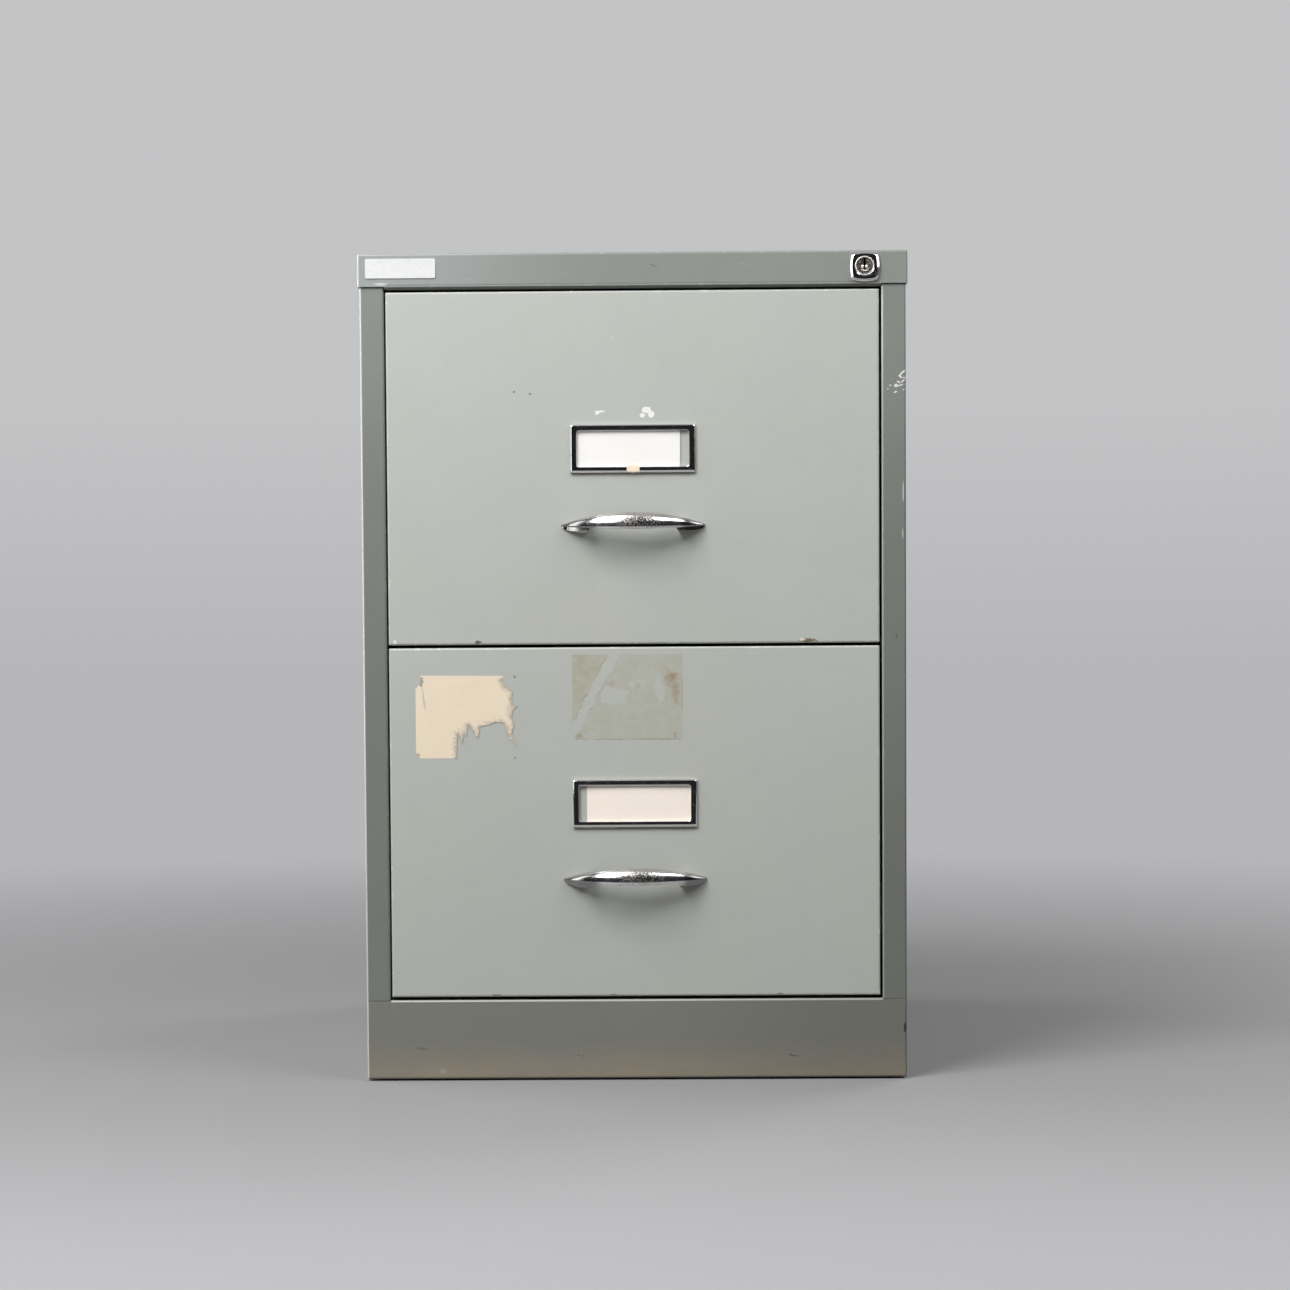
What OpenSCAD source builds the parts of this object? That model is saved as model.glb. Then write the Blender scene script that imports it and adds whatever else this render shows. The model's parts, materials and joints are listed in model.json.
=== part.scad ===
// Two-drawer steel filing cabinet with telescopic ball runners and a single lock
// that holds both drawers through a lifting bar.
// The cabinet stands on Z = 0, its front faces -Y, and X = 0 is its middle.
// Y = 0 is halfway between the front of the handles and the back of the top cap.

/* [Sheet metal] */
// Thickness of the folded sheet
sheet_t = 0.8; // [0.7:0.05:1.2]
// Outer radius of the folds on the cabinet
fold_r = 2; // [1.6:0.1:3]
// Small play where one folded piece sits inside another
fit = 0.1; // [0.05:0.01:0.2]

/* [Drawer fronts] */
// Width of a drawer front
front_w = 422; // [400:1:440]
// Height of a drawer front
front_h = 301.5; // [295:0.5:312]
// Depth of the folded rim of a drawer front
front_d = 18; // [16:0.5:20]
// Gap between a drawer front and the stile on each side
gap_side = 1.75; // [1.5:0.05:2.5]
// Gap between the two drawer fronts
gap_mid = 2.6; // [2:0.1:4]
// Gap between the lower front and the plinth
gap_low = 2.8; // [2:0.1:4]
// Gap between the upper front and the top cap
gap_top = 4.6; // [2:0.1:6]
// How far the drawer fronts hang to the right (minus for left)
front_shift = -0.4; // [-0.8:0.1:0.8]

/* [Cabinet] */
// Depth of the cabinet body from its stiles to its back
body_d = 619; // [610:1:660]
// Width of each front stile
stile_w = 20.75; // [19.5:0.25:24]
// Depth of the return behind each stile
stile_return = 15; // [10:0.5:18]
// Height of the plinth
plinth_h = 68.5; // [62:0.5:80]
// Depth of the folded rim of the plinth
plinth_d = 15.7; // [14:0.1:18]
// Height of the top cap's rim
cap_h = 28; // [27.6:0.2:34]
// Space between the top cap's rim and the body
cap_gap = 0.7; // [0.3:0.1:1]
// Depth of the lip under the front of the top cap
cap_lip = 28; // [8:0.5:29]
// Height of the floor pan above the underside of the body
pan_lift = 53.5; // [40:0.5:58]
// Depth of the floor pan's rim
pan_rim = 20; // [12:1:30]
// Width of the flange along the foot of each side panel
foot_flange = 20; // [18.5:0.5:26]
// How far the middle of the back panel is pressed out
back_press = 0.8; // [0.4:0.1:0.9]
// Width of the border round the pressed field of the back panel
back_border = 62; // [40:1:90]

/* [Uprights] */
// Thickness of the uprights
upright_t = 1.2; // [1:0.1:1.6]
// Width of an upright from front to back
upright_w = 40; // [32:1:50]
// Distance from the stile face to the front uprights
upright_front = 45; // [42:1:60]
// Distance from the rear end of the runners to the rear uprights
upright_rear = 4; // [2:1:40]
// Spacing of the hook slots
slot_pitch = 32; // [28:1:40]
// Height of a hook slot
slot_h = 14; // [12:0.5:16]
// Width of a hook slot
slot_w = 4; // [3.5:0.25:5]

/* [Glides] */
// Height of the glides under the body
glide_h = 1.5; // [1:0.1:4]
// Radius of a glide
glide_r = 9; // [7:0.25:9.25]
// Radius of a glide's stem
glide_stem_r = 3.5; // [2.5:0.1:5]
// Height of a glide's stem above the foot flange
glide_stem_h = 4; // [2:0.5:8]
// Distance of the glides from the ends of the foot flange
glide_inset = 22; // [14:1:60]

/* [Drawer body] */
// Length of a drawer tray
tray_l = 575; // [572:1:585]
// Height of a drawer tray's sides
tray_h = 248; // [225:1:258]
// Height of the tray's floor above the foot of the drawer front
tray_lift = 14; // [8:0.5:20]
// Height of the drawer's back
drawer_back_h = 215; // [150:1:220]
// Depth of the rim of the drawer's back
drawer_back_d = 12; // [8:0.5:18]
// Depth of the rim of the inner front
liner_d = 12; // [8:0.5:14]
// Thickness of the file rails on top of the tray's sides
rail_t = 3.6; // [3:0.1:4.4]
// Height of the file rails
rail_h = 15; // [10:0.5:20]
// How far a file rail stands above the tray's side
rail_rise = 3; // [2:0.5:5]

/* [Runners] */
// Length of every runner member
runner_l = 560; // [550:1:562]
// Distance from the inner front to the runners
runner_front = 4; // [2:0.5:8]
// Height of the runners' middle above the tray's floor
runner_lift = 60; // [45:1:90]
// How far a drawer opens
travel = 530; // [440:5:540]
// Radius of a bearing ball
ball_r = 2; // [1.8:0.05:2.1]
// Play between a ball and its grooves
ball_play = 0.05; // [0.02:0.01:0.08]
// Thickness of the runner members
runner_t = 1.2; // [1:0.05:1.4]
// Gap between the rims of two runner members
race_gap = 1; // [0.9:0.05:1.2]
// Gap between the webs of two runner members
web_gap = 0.6; // [0.4:0.05:0.8]
// Width of the land on each side of a ball groove
land = 1; // [0.5:0.05:1.2]
// Half height of the drawer member's web
inner_half = 12; // [10:0.5:14]
// Width of the space inside the drawer member
inner_space = 2.7; // [2:0.1:3]
// Thickness of a ball cage
cage_t = 0.6; // [0.4:0.05:0.7]
// Distance from a ball cage to the ends of its races when the drawer is open
cage_stop = 15; // [8:1:30]
// Number of balls along a cage
ball_count = 7; // [4:1:10]
// How far a hook drops behind its upright
hook_drop = 4; // [3:0.25:5]
// Length of the rubber buffers at the rear end of the runners
buffer_l = 8; // [5:0.5:12]
// Number of rivets along each side of a tray
rivet_count = 3; // [2:1:5]
// Radius of a rivet's shank
rivet_r = 2; // [1.5:0.1:2.5]
// Radius of a rivet's head
rivet_head_r = 3.4; // [3:0.1:4]
// Height of a rivet's head
rivet_head_h = 1; // [0.6:0.1:1.4]

/* [Handles] */
// Length of a handle
handle_l = 124; // [110:1:140]
// How far a handle stands out from the drawer front
handle_reach = 27; // [23:0.5:34]
// Height of a handle's points above the foot of the drawer front
handle_z = 101.7; // [70:0.1:125]
// How far the grip rises above the handle's points
grip_rise = 10.3; // [8:0.1:13]
// How far the grip drops below the handle's points
grip_drop = 4.2; // [3:0.1:6]
// Thickness of the grip
grip_t = 7; // [5:0.25:8]
// How far a handle's feet reach below its points
foot_drop = 9; // [7:0.25:11]
// Length of the finger gap behind the grip
finger_l = 74; // [66:1:80]
// Spacing of the handle's two screws
handle_pitch = 96; // [92:1:98]
// Radius of the handle screws
screw_r = 2; // [1.5:0.1:2.2]
// Depth of a screw in the handle's foot
screw_in = 5.5; // [4:0.5:6]

/* [Label holders] */
// Width of a label holder
label_w = 107; // [90:1:120]
// Height of a label holder
label_h = 41.5; // [39.5:0.5:50]
// How far a label holder stands out
label_d = 3.2; // [2.8:0.1:5]
// Width of a label holder's border
label_border = 5.3; // [4.5:0.1:7]
// Width of the bevel round a label holder
label_bevel = 1.1; // [0.6:0.1:1.6]
// Height of a label holder's middle above the foot of the drawer front
label_z = 166.8; // [150:0.1:185]
// Width of a label card
card_w = 91; // [80:0.5:92]
// Height of a label card
card_h = 34; // [32.5:0.25:34.5]
// Thickness of a label card
card_t = 0.4; // [0.3:0.05:0.5]

/* [Lock] */
// Distance from the cap's right edge to the lock's middle
lock_inset = 36.8; // [35:0.2:42]
// Distance from the top to the lock's middle
lock_down = 14; // [13.6:0.1:14.4]
// Width and height of the lock's bezel
bezel_w = 26; // [24:0.2:27]
// How far the bezel stands out
bezel_d = 4.2; // [3.6:0.1:5]
// Radius of the bulge of each bezel side
bezel_bulge = 42; // [34:1:60]
// Radius of the raised ring round the lock cylinder
ring_r = 8.3; // [8:0.1:9]
// Radius of the lock's threaded barrel
barrel_r = 9; // [8.6:0.1:9.2]
// Length of the barrel behind the bezel
barrel_l = 24; // [22:0.5:24.5]
// Radius of the turning cylinder
plug_r = 6.75; // [6:0.05:7]
// Play round the turning cylinder
plug_play = 0.05; // [0.02:0.01:0.08]
// Width of the keyway
keyway_w = 1.6; // [1.2:0.1:2.2]
// Radius from the lock's middle to the crank pin
crank_r = 8; // [7.6:0.1:8.2]
// Radius of the crank pin
crank_pin_r = 2; // [1.6:0.1:2.2]

/* [Lock bar] */
// Width of the lock bar
bar_w = 14; // [11:0.5:14.5]
// Thickness of the lock bar
bar_t = 2; // [1.5:0.1:2.4]
// Distance from the stile face to the lock bar
bar_back = 33; // [32:0.25:34]
// Height of the locking lugs
lug_h = 9; // [7:0.25:10]
// Gap between a lug and its catch when unlocked
lug_gap = 1.5; // [1:0.1:2]
// Height of the locking lugs above the foot of each drawer front
lug_z = 200; // [180:1:215]

/* [Badge] */
// Width of the badge plate
badge_w = 61.4; // [50:0.2:70]
// Height of the badge plate
badge_h = 17.8; // [14:0.2:20]
// Thickness of the badge plate
badge_t = 0.8; // [0.5:0.1:1.2]
// Distance from the cap's left edge to the badge plate
badge_inset = 5.7; // [4:0.1:12]

/* [Hidden] */
$fn = 64;
LOWER = 0;
UPPER = 1;
LEFT = -1;
RIGHT = 1;

opening_w = front_w + 2 * gap_side;
body_w = opening_w + 2 * stile_w;
cap_out = cap_gap + sheet_t;
cap_w = body_w + 2 * cap_out;
cap_d = body_d + 2 * cap_out;

face_y = (handle_reach - body_d - cap_out) / 2;
back_y = face_y + body_d;
cap_y = face_y - cap_out;
liner_y = face_y + front_d;

body_z = glide_h;
plinth_z = body_z + plinth_h;
function drawer_z(i) = plinth_z + gap_low + i * (front_h + gap_mid);
cap_z = drawer_z(UPPER) + front_h + gap_top;
top_z = cap_z + cap_h;
under_cap_z = top_z - sheet_t;
pan_z = body_z + pan_lift;
inner_x = body_w / 2 - sheet_t;
inner_r = fold_r - sheet_t;
// The fold inside the cap keeps the walls this far below the cap's sheet.
cap_seat = fit + max(0, inner_r - sqrt(inner_r * inner_r - pow(max(0, inner_r - cap_gap), 2)));
wall_top = under_cap_z - cap_seat;
inner_back_y = back_y - 2 * sheet_t;
notch_d = plinth_d + 0.3;

// Runner cross-section: u runs from the tray's side outwards, v is up from the runner's middle.
groove_r = ball_r + ball_play;
groove_half = sqrt(groove_r * groove_r - race_gap * race_gap / 4);
race_u0 = runner_t + inner_space;
ball_u = race_u0 + land + groove_half;
inner_race_u = ball_u + groove_half + land - 0.6;
mid_web_u = inner_race_u + web_gap;
mid_out_u = mid_web_u + runner_t;
outer_web_u = mid_out_u + web_gap;
runner_w = outer_web_u + runner_t;
inner_ball_v = inner_half + groove_r;
outer_ball_v = inner_ball_v + 2 * groove_r + runner_t;
runner_half = outer_ball_v + groove_r + runner_t;
mid_clear = 0.75;
tray_x = opening_w / 2 - mid_clear - mid_out_u;
upright_x = tray_x + runner_w + fit / 2;
runner_y = liner_y + runner_front;
buffer_gap = 0.3;
cage_front = travel / 4 + cage_stop;
cage_l = runner_l - travel / 2 - 2 * cage_stop;
hook_t = 2;
hook_reach = 1.5;
hook_h = 10;

// Handle
screw_play = 0.05;
screw_head_r = 4;
screw_head_h = 2.2;
tip_half = 0.8;
tip_depth = 1.4;
finger_corner = 9;
foot_sag = foot_drop * 1.55;
foot_slope = 13;
FINE = 720;

// Label holder
pocket_d = 0.7;
window_r = 2.5;
tab_w = 8;
tab_t = 0.8;
tab_l = 5;
tab_play = 0.3;
pocket_play = 0.6;

// Lock
lock_x = cap_w / 2 - lock_inset;
lock_z = top_z - lock_down;
crank_angle = 45;
crank_rise = 2 * crank_r * sin(crank_angle);
nut_t = 3;
nut_af = 21;
cam_t = 2;
cam_y = cap_y + barrel_l + 1.5;
bar_y = face_y + bar_back;
pin_slot_play = 0.4;
arm_half = 5.2;
bar_x1 = inner_x - 3;
bar_x0 = bar_x1 - bar_w;
lug_x = tray_x + 5.5;
catch_gap = 1;
catch_t = 2;
catch_h = 12;
catch_x = opening_w / 2 - 1.5;
guide_wall = 1;
guide_play = 0.2;
guide_h = 18;
header_d = 20;

// ---- Shapes that repeat ----

// Rectangle from corner a to corner b with true round corners of radius r.
module round_rect(a, b, r) {
    translate([a.x + r, a.y]) square([b.x - a.x - 2 * r, b.y - a.y]);
    translate([a.x, a.y + r]) square([b.x - a.x, b.y - a.y - 2 * r]);
    for (x = [a.x + r, b.x - r], y = [a.y + r, b.y - r]) translate([x, y]) circle(r);
}

// Closed folded ring of sheet between the corners a and b.
module sheet_ring(a, b, r, t) {
    difference() {
        round_rect(a, b, r);
        round_rect([a.x + t, a.y + t], [b.x - t, b.y - t], r - t);
    }
}

// Solid block w wide (X), d deep (Y) and h high (Z) with its front edges rounded. Its front is at
// Y = 0 and it is centred on X and Z; corner_r rounds the four edges that run from front to back.
module soft_block(w, d, h, r, corner_r) {
    intersection() {
        translate([0, 0, -h / 2]) linear_extrude(h)
            round_rect([-w / 2, 0], [w / 2, d + 2 * r], r);
        rotate([90, 0, 90]) translate([0, 0, -w / 2]) linear_extrude(w)
            round_rect([0, -h / 2], [d + 2 * r, h / 2], r);
        rotate([-90, 0, 0]) linear_extrude(d)
            round_rect([-w / 2, -h / 2], [w / 2, h / 2], corner_r);
    }
}

// Folded tray of sheet: its face is at Y = 0 and its rim runs back to Y = d, where it is open.
module sheet_pan(w, d, h, t, r) {
    corner_r = r * 0.7;
    difference() {
        soft_block(w, d, h, r, corner_r);
        translate([0, t, 0]) soft_block(w - 2 * t, d + t, h - 2 * t, r - t, 0.3);
    }
}

// Carries a module drawn in runner coordinates to one side of a drawer.
module at_runner(i, side) {
    z = drawer_z(i) + tray_lift + runner_lift;
    translate([side * tray_x, runner_y, z]) mirror([side < 0 ? 1 : 0, 0, 0]) children();
}

// Extrudes a runner cross-section (u, v) backwards over the length l.
module along_runner(l) {
    translate([0, l, 0]) rotate([90, 0, 0]) linear_extrude(l) children();
}

// ---- Cabinet shell ----

module side_panel(side) {
    color("#8b918a") mirror([side > 0 ? 1 : 0, 0, 0]) {
        difference() {
            translate([0, 0, body_z]) linear_extrude(wall_top - body_z) difference() {
                sheet_ring([-body_w / 2, face_y], [-opening_w / 2, back_y], fold_r, sheet_t);
                translate([-inner_x + fold_r, face_y + stile_return])
                    square([stile_w, body_d - stile_return - sheet_t - fold_r]);
                translate([-opening_w / 2 - fold_r, back_y - sheet_t - fold_r - 1])
                    square([fold_r + 1, sheet_t + fold_r + 2]);
            }
            translate([-body_w / 2 - 1, face_y - 1, body_z - 1])
                cube([stile_w + 2, notch_d + 1, plinth_z - body_z + 1]);
        }
        difference() {
            translate([-inner_x - 0.5, face_y + notch_d, body_z])
                cube([foot_flange - sheet_t + 0.5, body_d - notch_d - sheet_t, sheet_t]);
            for (y = glide_ys()) translate([-glide_x(), y, body_z - 1])
                cylinder(r = glide_stem_r + fit, h = sheet_t + 2);
        }
    }
}

function glide_x() = body_w / 2 - foot_flange / 2 - sheet_t / 2;
function glide_ys() = [face_y + notch_d + glide_inset, back_y - glide_inset];

module back_panel() {
    w = 2 * (inner_x - inner_r - fit);
    z = body_z + sheet_t + fit;
    h = wall_top - z;
    field_w = w - 2 * back_border;
    field_h = h - 2 * back_border;
    overlap = 3;
    color("#8b918a") {
        difference() {
            translate([-w / 2, inner_back_y, z]) cube([w, sheet_t, h]);
            translate([-field_w / 2, inner_back_y - 1, z + back_border])
                cube([field_w, sheet_t + 2, field_h]);
        }
        translate([-field_w / 2 - overlap, inner_back_y + back_press, z + back_border - overlap])
            cube([field_w + 2 * overlap, sheet_t, field_h + 2 * overlap]);
    }
}

// The cap is a tray turned face up; between the stiles its front rim is folded under into a lip.
module top_cap() {
    lip_w = opening_w - 2 * fold_r;
    lip_z = cap_z + 2 * fold_r;
    color("#8b918a") difference() {
        union() {
            difference() {
                translate([0, (cap_y + cap_y + cap_d) / 2, top_z]) rotate([-90, 0, 0])
                    sheet_pan(cap_w, cap_h, cap_d, sheet_t, fold_r);
                translate([-lip_w / 2, cap_y - 1, cap_z - 1])
                    cube([lip_w, fold_r + 2, lip_z - cap_z + 1]);
            }
            translate([-lip_w / 2, 0, 0]) rotate([90, 0, 90]) linear_extrude(lip_w)
                intersection() {
                    translate([cap_y, cap_z]) square([cap_lip, lip_z - cap_z]);
                    sheet_ring([cap_y, cap_z], [cap_y + 3 * cap_lip, lip_z + 3 * cap_lip],
                        fold_r, sheet_t);
                }
        }
        translate([lock_x, cap_y - 1, lock_z]) rotate([-90, 0, 0])
            cylinder(r = barrel_r + fit, h = sheet_t + 2);
    }
}

// The plinth's upper fold runs between the stiles. Below them its sheet is cut square.
module plinth() {
    ear_h = 2 * fold_r;
    color("#8b918a") {
        translate([0, face_y, body_z + plinth_h / 2])
            sheet_pan(body_w, plinth_d, plinth_h, sheet_t, fold_r);
        translate([0, 0, plinth_z - ear_h]) linear_extrude(ear_h) intersection() {
            sheet_ring([-body_w / 2, face_y], [body_w / 2, face_y + body_d], fold_r, sheet_t);
            for (side = [LEFT, RIGHT]) translate([side * (body_w - stile_w) / 2, face_y + plinth_d / 2])
                square([stile_w, plinth_d], center = true);
        }
    }
}

// Floor of the cabinet, a tray turned face up, resting between the side panels.
module base_pan() {
    y0 = face_y + notch_d + fit;
    y1 = inner_back_y - fit;
    color("#8b918a") translate([0, (y0 + y1) / 2, pan_z]) rotate([-90, 0, 0])
        sheet_pan(2 * (inner_x - fit), pan_rim, y1 - y0, sheet_t, fold_r);
}

// Channel across the top of the opening that stiffens the cap and holds the lock.
module header_rail() {
    z0 = cap_z + sheet_t + cap_gap;
    w = opening_w - 2 * fit;
    color("#8b918a") difference() {
        translate([-w / 2, 0, 0]) rotate([90, 0, 90]) linear_extrude(w) difference() {
            sheet_ring([face_y, z0], [face_y + header_d + 3 * fold_r, wall_top],
                fold_r, sheet_t);
            translate([face_y + header_d, z0 - 1]) square([4 * fold_r, cap_h + 2]);
        }
        translate([lock_x, face_y - 1, lock_z]) rotate([-90, 0, 0])
            cylinder(r = barrel_r + fit, h = sheet_t + 2);
    }
}

// Channel with hook slots that carries the runners. y is the middle of the channel.
function upright_front_y() = face_y + upright_front + upright_w / 2;
function upright_rear_y() = runner_y + runner_l - upright_rear - upright_w / 2;
function runner_v_of(i) = drawer_z(i) + tray_lift + runner_lift;

module upright(side, y) {
    z1 = wall_top;
    slots = floor((drawer_z(UPPER) - drawer_z(LOWER) - slot_pitch / 2) / slot_pitch);
    color("#9aa09b") mirror([side < 0 ? 1 : 0, 0, 0]) difference() {
        translate([0, 0, pan_z]) linear_extrude(z1 - pan_z) difference() {
            sheet_ring([upright_x, y - upright_w / 2],
                [inner_x + 3 * fold_r, y + upright_w / 2], fold_r, upright_t);
            translate([inner_x - fit, y - upright_w]) square([6 * fold_r, 2 * upright_w]);
        }
        for (i = [LOWER, UPPER], k = [0 : slots - 1])
            translate([upright_x - 1, y - slot_w / 2, runner_v_of(i) + k * slot_pitch - slot_h / 2])
                cube([upright_t + 2, slot_w, slot_h]);
    }
}

module badge_plate() {
    x0 = -cap_w / 2 + badge_inset;
    z0 = top_z - badge_inset / 2 - badge_h;
    color("#f4f4f2") translate([0, cap_y, 0]) rotate([90, 0, 0]) linear_extrude(badge_t)
        round_rect([x0, z0], [x0 + badge_w, z0 + badge_h], 1.2);
}

module corner_glides() {
    color("#2a2a2a") for (side = [LEFT, RIGHT], y = glide_ys())
        translate([side * glide_x(), y, 0]) {
            cylinder(r = glide_r, h = glide_h);
            cylinder(r = glide_stem_r, h = glide_h + sheet_t + glide_stem_h);
        }
}

// ---- Runners ----

// Runner section: the points of its upper half and their mirror image below the middle.
module section(half) {
    polygon(concat(half, [for (k = [len(half) - 1 : -1 : 0]) [half[k].x, -half[k].y]]));
}

module grooves(v) {
    for (m = [-1, 1]) translate([ball_u, m * v]) circle(groove_r);
}

module cabinet_runner(i, side) {
    race_v = outer_ball_v + race_gap / 2;
    color("#b9bdc0") at_runner(i, side) {
        along_runner(runner_l + buffer_gap + buffer_l) difference() {
            section([[outer_web_u, race_v], [race_u0, race_v], [race_u0, runner_half],
                [runner_w, runner_half]]);
            grooves(outer_ball_v);
        }
        for (y = [upright_front_y(), upright_rear_y()])
            translate([runner_w, y - runner_y - hook_t / 2, 0]) runner_hook();
    }
}

// Hook that reaches through an upright's slot and drops behind its web.
module runner_hook() {
    reach = upright_t + fit;
    translate([-runner_t, 0, -hook_h / 2]) cube([runner_t + reach + hook_reach, hook_t, hook_h]);
    translate([reach, 0, -hook_h / 2 - hook_drop]) cube([hook_reach, hook_t, hook_h + hook_drop]);
}

module middle_runner(i, side) {
    v0 = inner_ball_v + race_gap / 2;
    v1 = outer_ball_v - race_gap / 2;
    color("#c4c8cb") at_runner(i, side) along_runner(runner_l) difference() {
        section([[mid_web_u, v0], [race_u0, v0], [race_u0, v1], [mid_out_u, v1]]);
        grooves(outer_ball_v);
        grooves(inner_ball_v);
    }
}

module drawer_runner(i, side) {
    v0 = inner_half - runner_t;
    v1 = inner_ball_v - race_gap / 2;
    color("#b9bdc0") at_runner(i, side) difference() {
        along_runner(runner_l) difference() {
            section([[runner_t, v0], [inner_race_u, v0], [inner_race_u, v1], [race_u0, v1],
                [race_u0, inner_half], [0, inner_half]]);
            grooves(inner_ball_v);
        }
        for (y = rivet_ys()) translate([-1, y - runner_y, 0]) rotate([0, 90, 0])
            cylinder(r = rivet_r + fit / 2, h = runner_t + 2);
    }
}

function rivet_ys() = [for (k = [0 : rivet_count - 1])
    runner_y + runner_l * (k + 0.5) / rivet_count];

module tray_rivets(i) {
    tail_h = 0.8;
    color("#c4c8cb") for (side = [LEFT, RIGHT]) at_runner(i, side)
        for (y = rivet_ys()) translate([0, y - runner_y, 0]) rotate([0, 90, 0]) {
            translate([0, 0, -sheet_t - rivet_head_h]) cylinder(r = rivet_head_r, h = rivet_head_h);
            translate([0, 0, -sheet_t - 0.5]) cylinder(r = rivet_r, h = sheet_t + runner_t + 0.6);
            translate([0, 0, runner_t]) cylinder(r = rivet_r + 0.7, h = tail_h);
        }
}

// One flat strip above and one below the runner's middle, each with its row of balls.
module ball_cages(i, v) {
    pitch = cage_l / ball_count;
    strip_u0 = race_u0;
    strip_u1 = inner_race_u;
    for (side = [LEFT, RIGHT]) at_runner(i, side) for (m = [-1, 1]) {
        color("#d8c48a") difference() {
            translate([strip_u0, cage_front, m * v - cage_t / 2])
                cube([strip_u1 - strip_u0, cage_l, cage_t]);
            for (k = [0 : ball_count - 1])
                translate([ball_u, cage_front + (k + 0.5) * pitch, m * v - cage_t])
                    cylinder(r = ball_r + ball_play, h = 2 * cage_t);
        }
        color("#d0d4d8") for (k = [0 : ball_count - 1])
            translate([ball_u, cage_front + (k + 0.5) * pitch, m * v]) sphere(ball_r, $fn = 32);
    }
}

// Rubber buffers in the rear ends of the cabinet members, where the drawers stop.
module rear_buffers() {
    color("#2a2a2a") for (i = [LOWER, UPPER], side = [LEFT, RIGHT]) at_runner(i, side)
        translate([fit, runner_l + buffer_gap, -inner_half]) {
            cube([outer_web_u - fit, buffer_l, 2 * inner_half]);
        }
}

// ---- Drawers ----

module drawer_front(i) {
    color("#bcc0b9") translate([front_shift, face_y, drawer_z(i) + front_h / 2]) difference() {
        sheet_pan(front_w, front_d, front_h, sheet_t, fold_r * 0.9);
        for (x = [-1, 1]) {
            translate([x * handle_pitch / 2, -1, screw_z() - front_h / 2]) rotate([-90, 0, 0])
                cylinder(r = screw_r + 0.25, h = sheet_t + 2);
            for (s = [-1, 1])
                translate([x * label_tab_x(), -1, label_z - front_h / 2 + s * label_tab_z()])
                    tab_slot();
        }
    }
}

function screw_z() = handle_z - foot_drop * 0.35;
function label_tab_x() = label_w / 2 - 2 * label_border - tab_w;
function label_tab_z() = (label_h + card_h) / 4;
module tab_slot() {
    translate([-tab_w / 2 - tab_play, 0, -tab_t / 2 - tab_play])
        cube([tab_w + 2 * tab_play, sheet_t + 2, tab_t + 2 * tab_play]);
}

module front_liner(i) {
    w = front_w - 2 * sheet_t - 2 * fit;
    h = front_h - 2 * sheet_t - 2 * fit;
    color("#a9ada7") translate([front_shift, liner_y, drawer_z(i) + front_h / 2]) rotate([0, 0, 180])
        sheet_pan(w, liner_d, h, sheet_t, fold_r * 0.8);
}

module drawer_tray(i) {
    z = drawer_z(i) + tray_lift;
    color("#a9ada7") difference() {
        translate([0, liner_y + tray_l, 0]) rotate([90, 0, 0]) linear_extrude(tray_l)
            intersection() {
                translate([-tray_x, z]) square([2 * tray_x, tray_h]);
                sheet_ring([-tray_x, z], [tray_x, z + tray_h + 4 * fold_r], fold_r, sheet_t);
            }
        for (side = [LEFT, RIGHT], y = rivet_ys())
            translate([side * (tray_x - sheet_t / 2), y, z + runner_lift]) rotate([0, 90, 0])
                cylinder(r = rivet_r + fit / 2, h = sheet_t + 2, center = true);
    }
}

module drawer_back(i) {
    w = 2 * (tray_x - sheet_t - fit);
    z = drawer_z(i) + tray_lift + sheet_t + fit;
    color("#a9ada7") translate([0, liner_y + tray_l - drawer_back_d, z + drawer_back_h / 2])
        sheet_pan(w, drawer_back_d, drawer_back_h, sheet_t, fold_r * 0.8);
}

// Slotted bars pushed over the tray's sides, on which hanging files ride.
module file_rails(i) {
    z1 = drawer_z(i) + tray_lift + tray_h + rail_rise;
    x = tray_x - sheet_t / 2;
    color("#d2d4d2") for (side = [LEFT, RIGHT])
        translate([side * x, liner_y + tray_l - fit, z1 - rail_h]) rotate([90, 0, 0])
            linear_extrude(tray_l - 2 * fit) difference() {
                round_rect([-rail_t / 2, 0], [rail_t / 2, rail_h], 0.8);
                translate([-sheet_t / 2 - fit / 2, -1]) square([sheet_t + fit, rail_h - rail_rise + 1]);
            }
}

// Radius of an arc with the given half chord and rise.
function arc_r(half, rise) = (half * half + rise * rise) / (2 * rise);

// Disc whose edge passes through [+-half, start] and [0, start + rise].
module arc_disc(half, start, rise) {
    r = arc_r(half, rise);
    translate([0, start + rise - r]) circle(r, $fn = FINE);
}

// Leaf between two arcs that end on the handle's points.
module leaf(rise, drop) {
    half = handle_l / 2;
    intersection() {
        arc_disc(half, tip_half, rise - tip_half);
        mirror([0, 1]) arc_disc(half, tip_half, drop - tip_half);
        square([handle_l, 4 * handle_l], center = true);
    }
}

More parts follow.
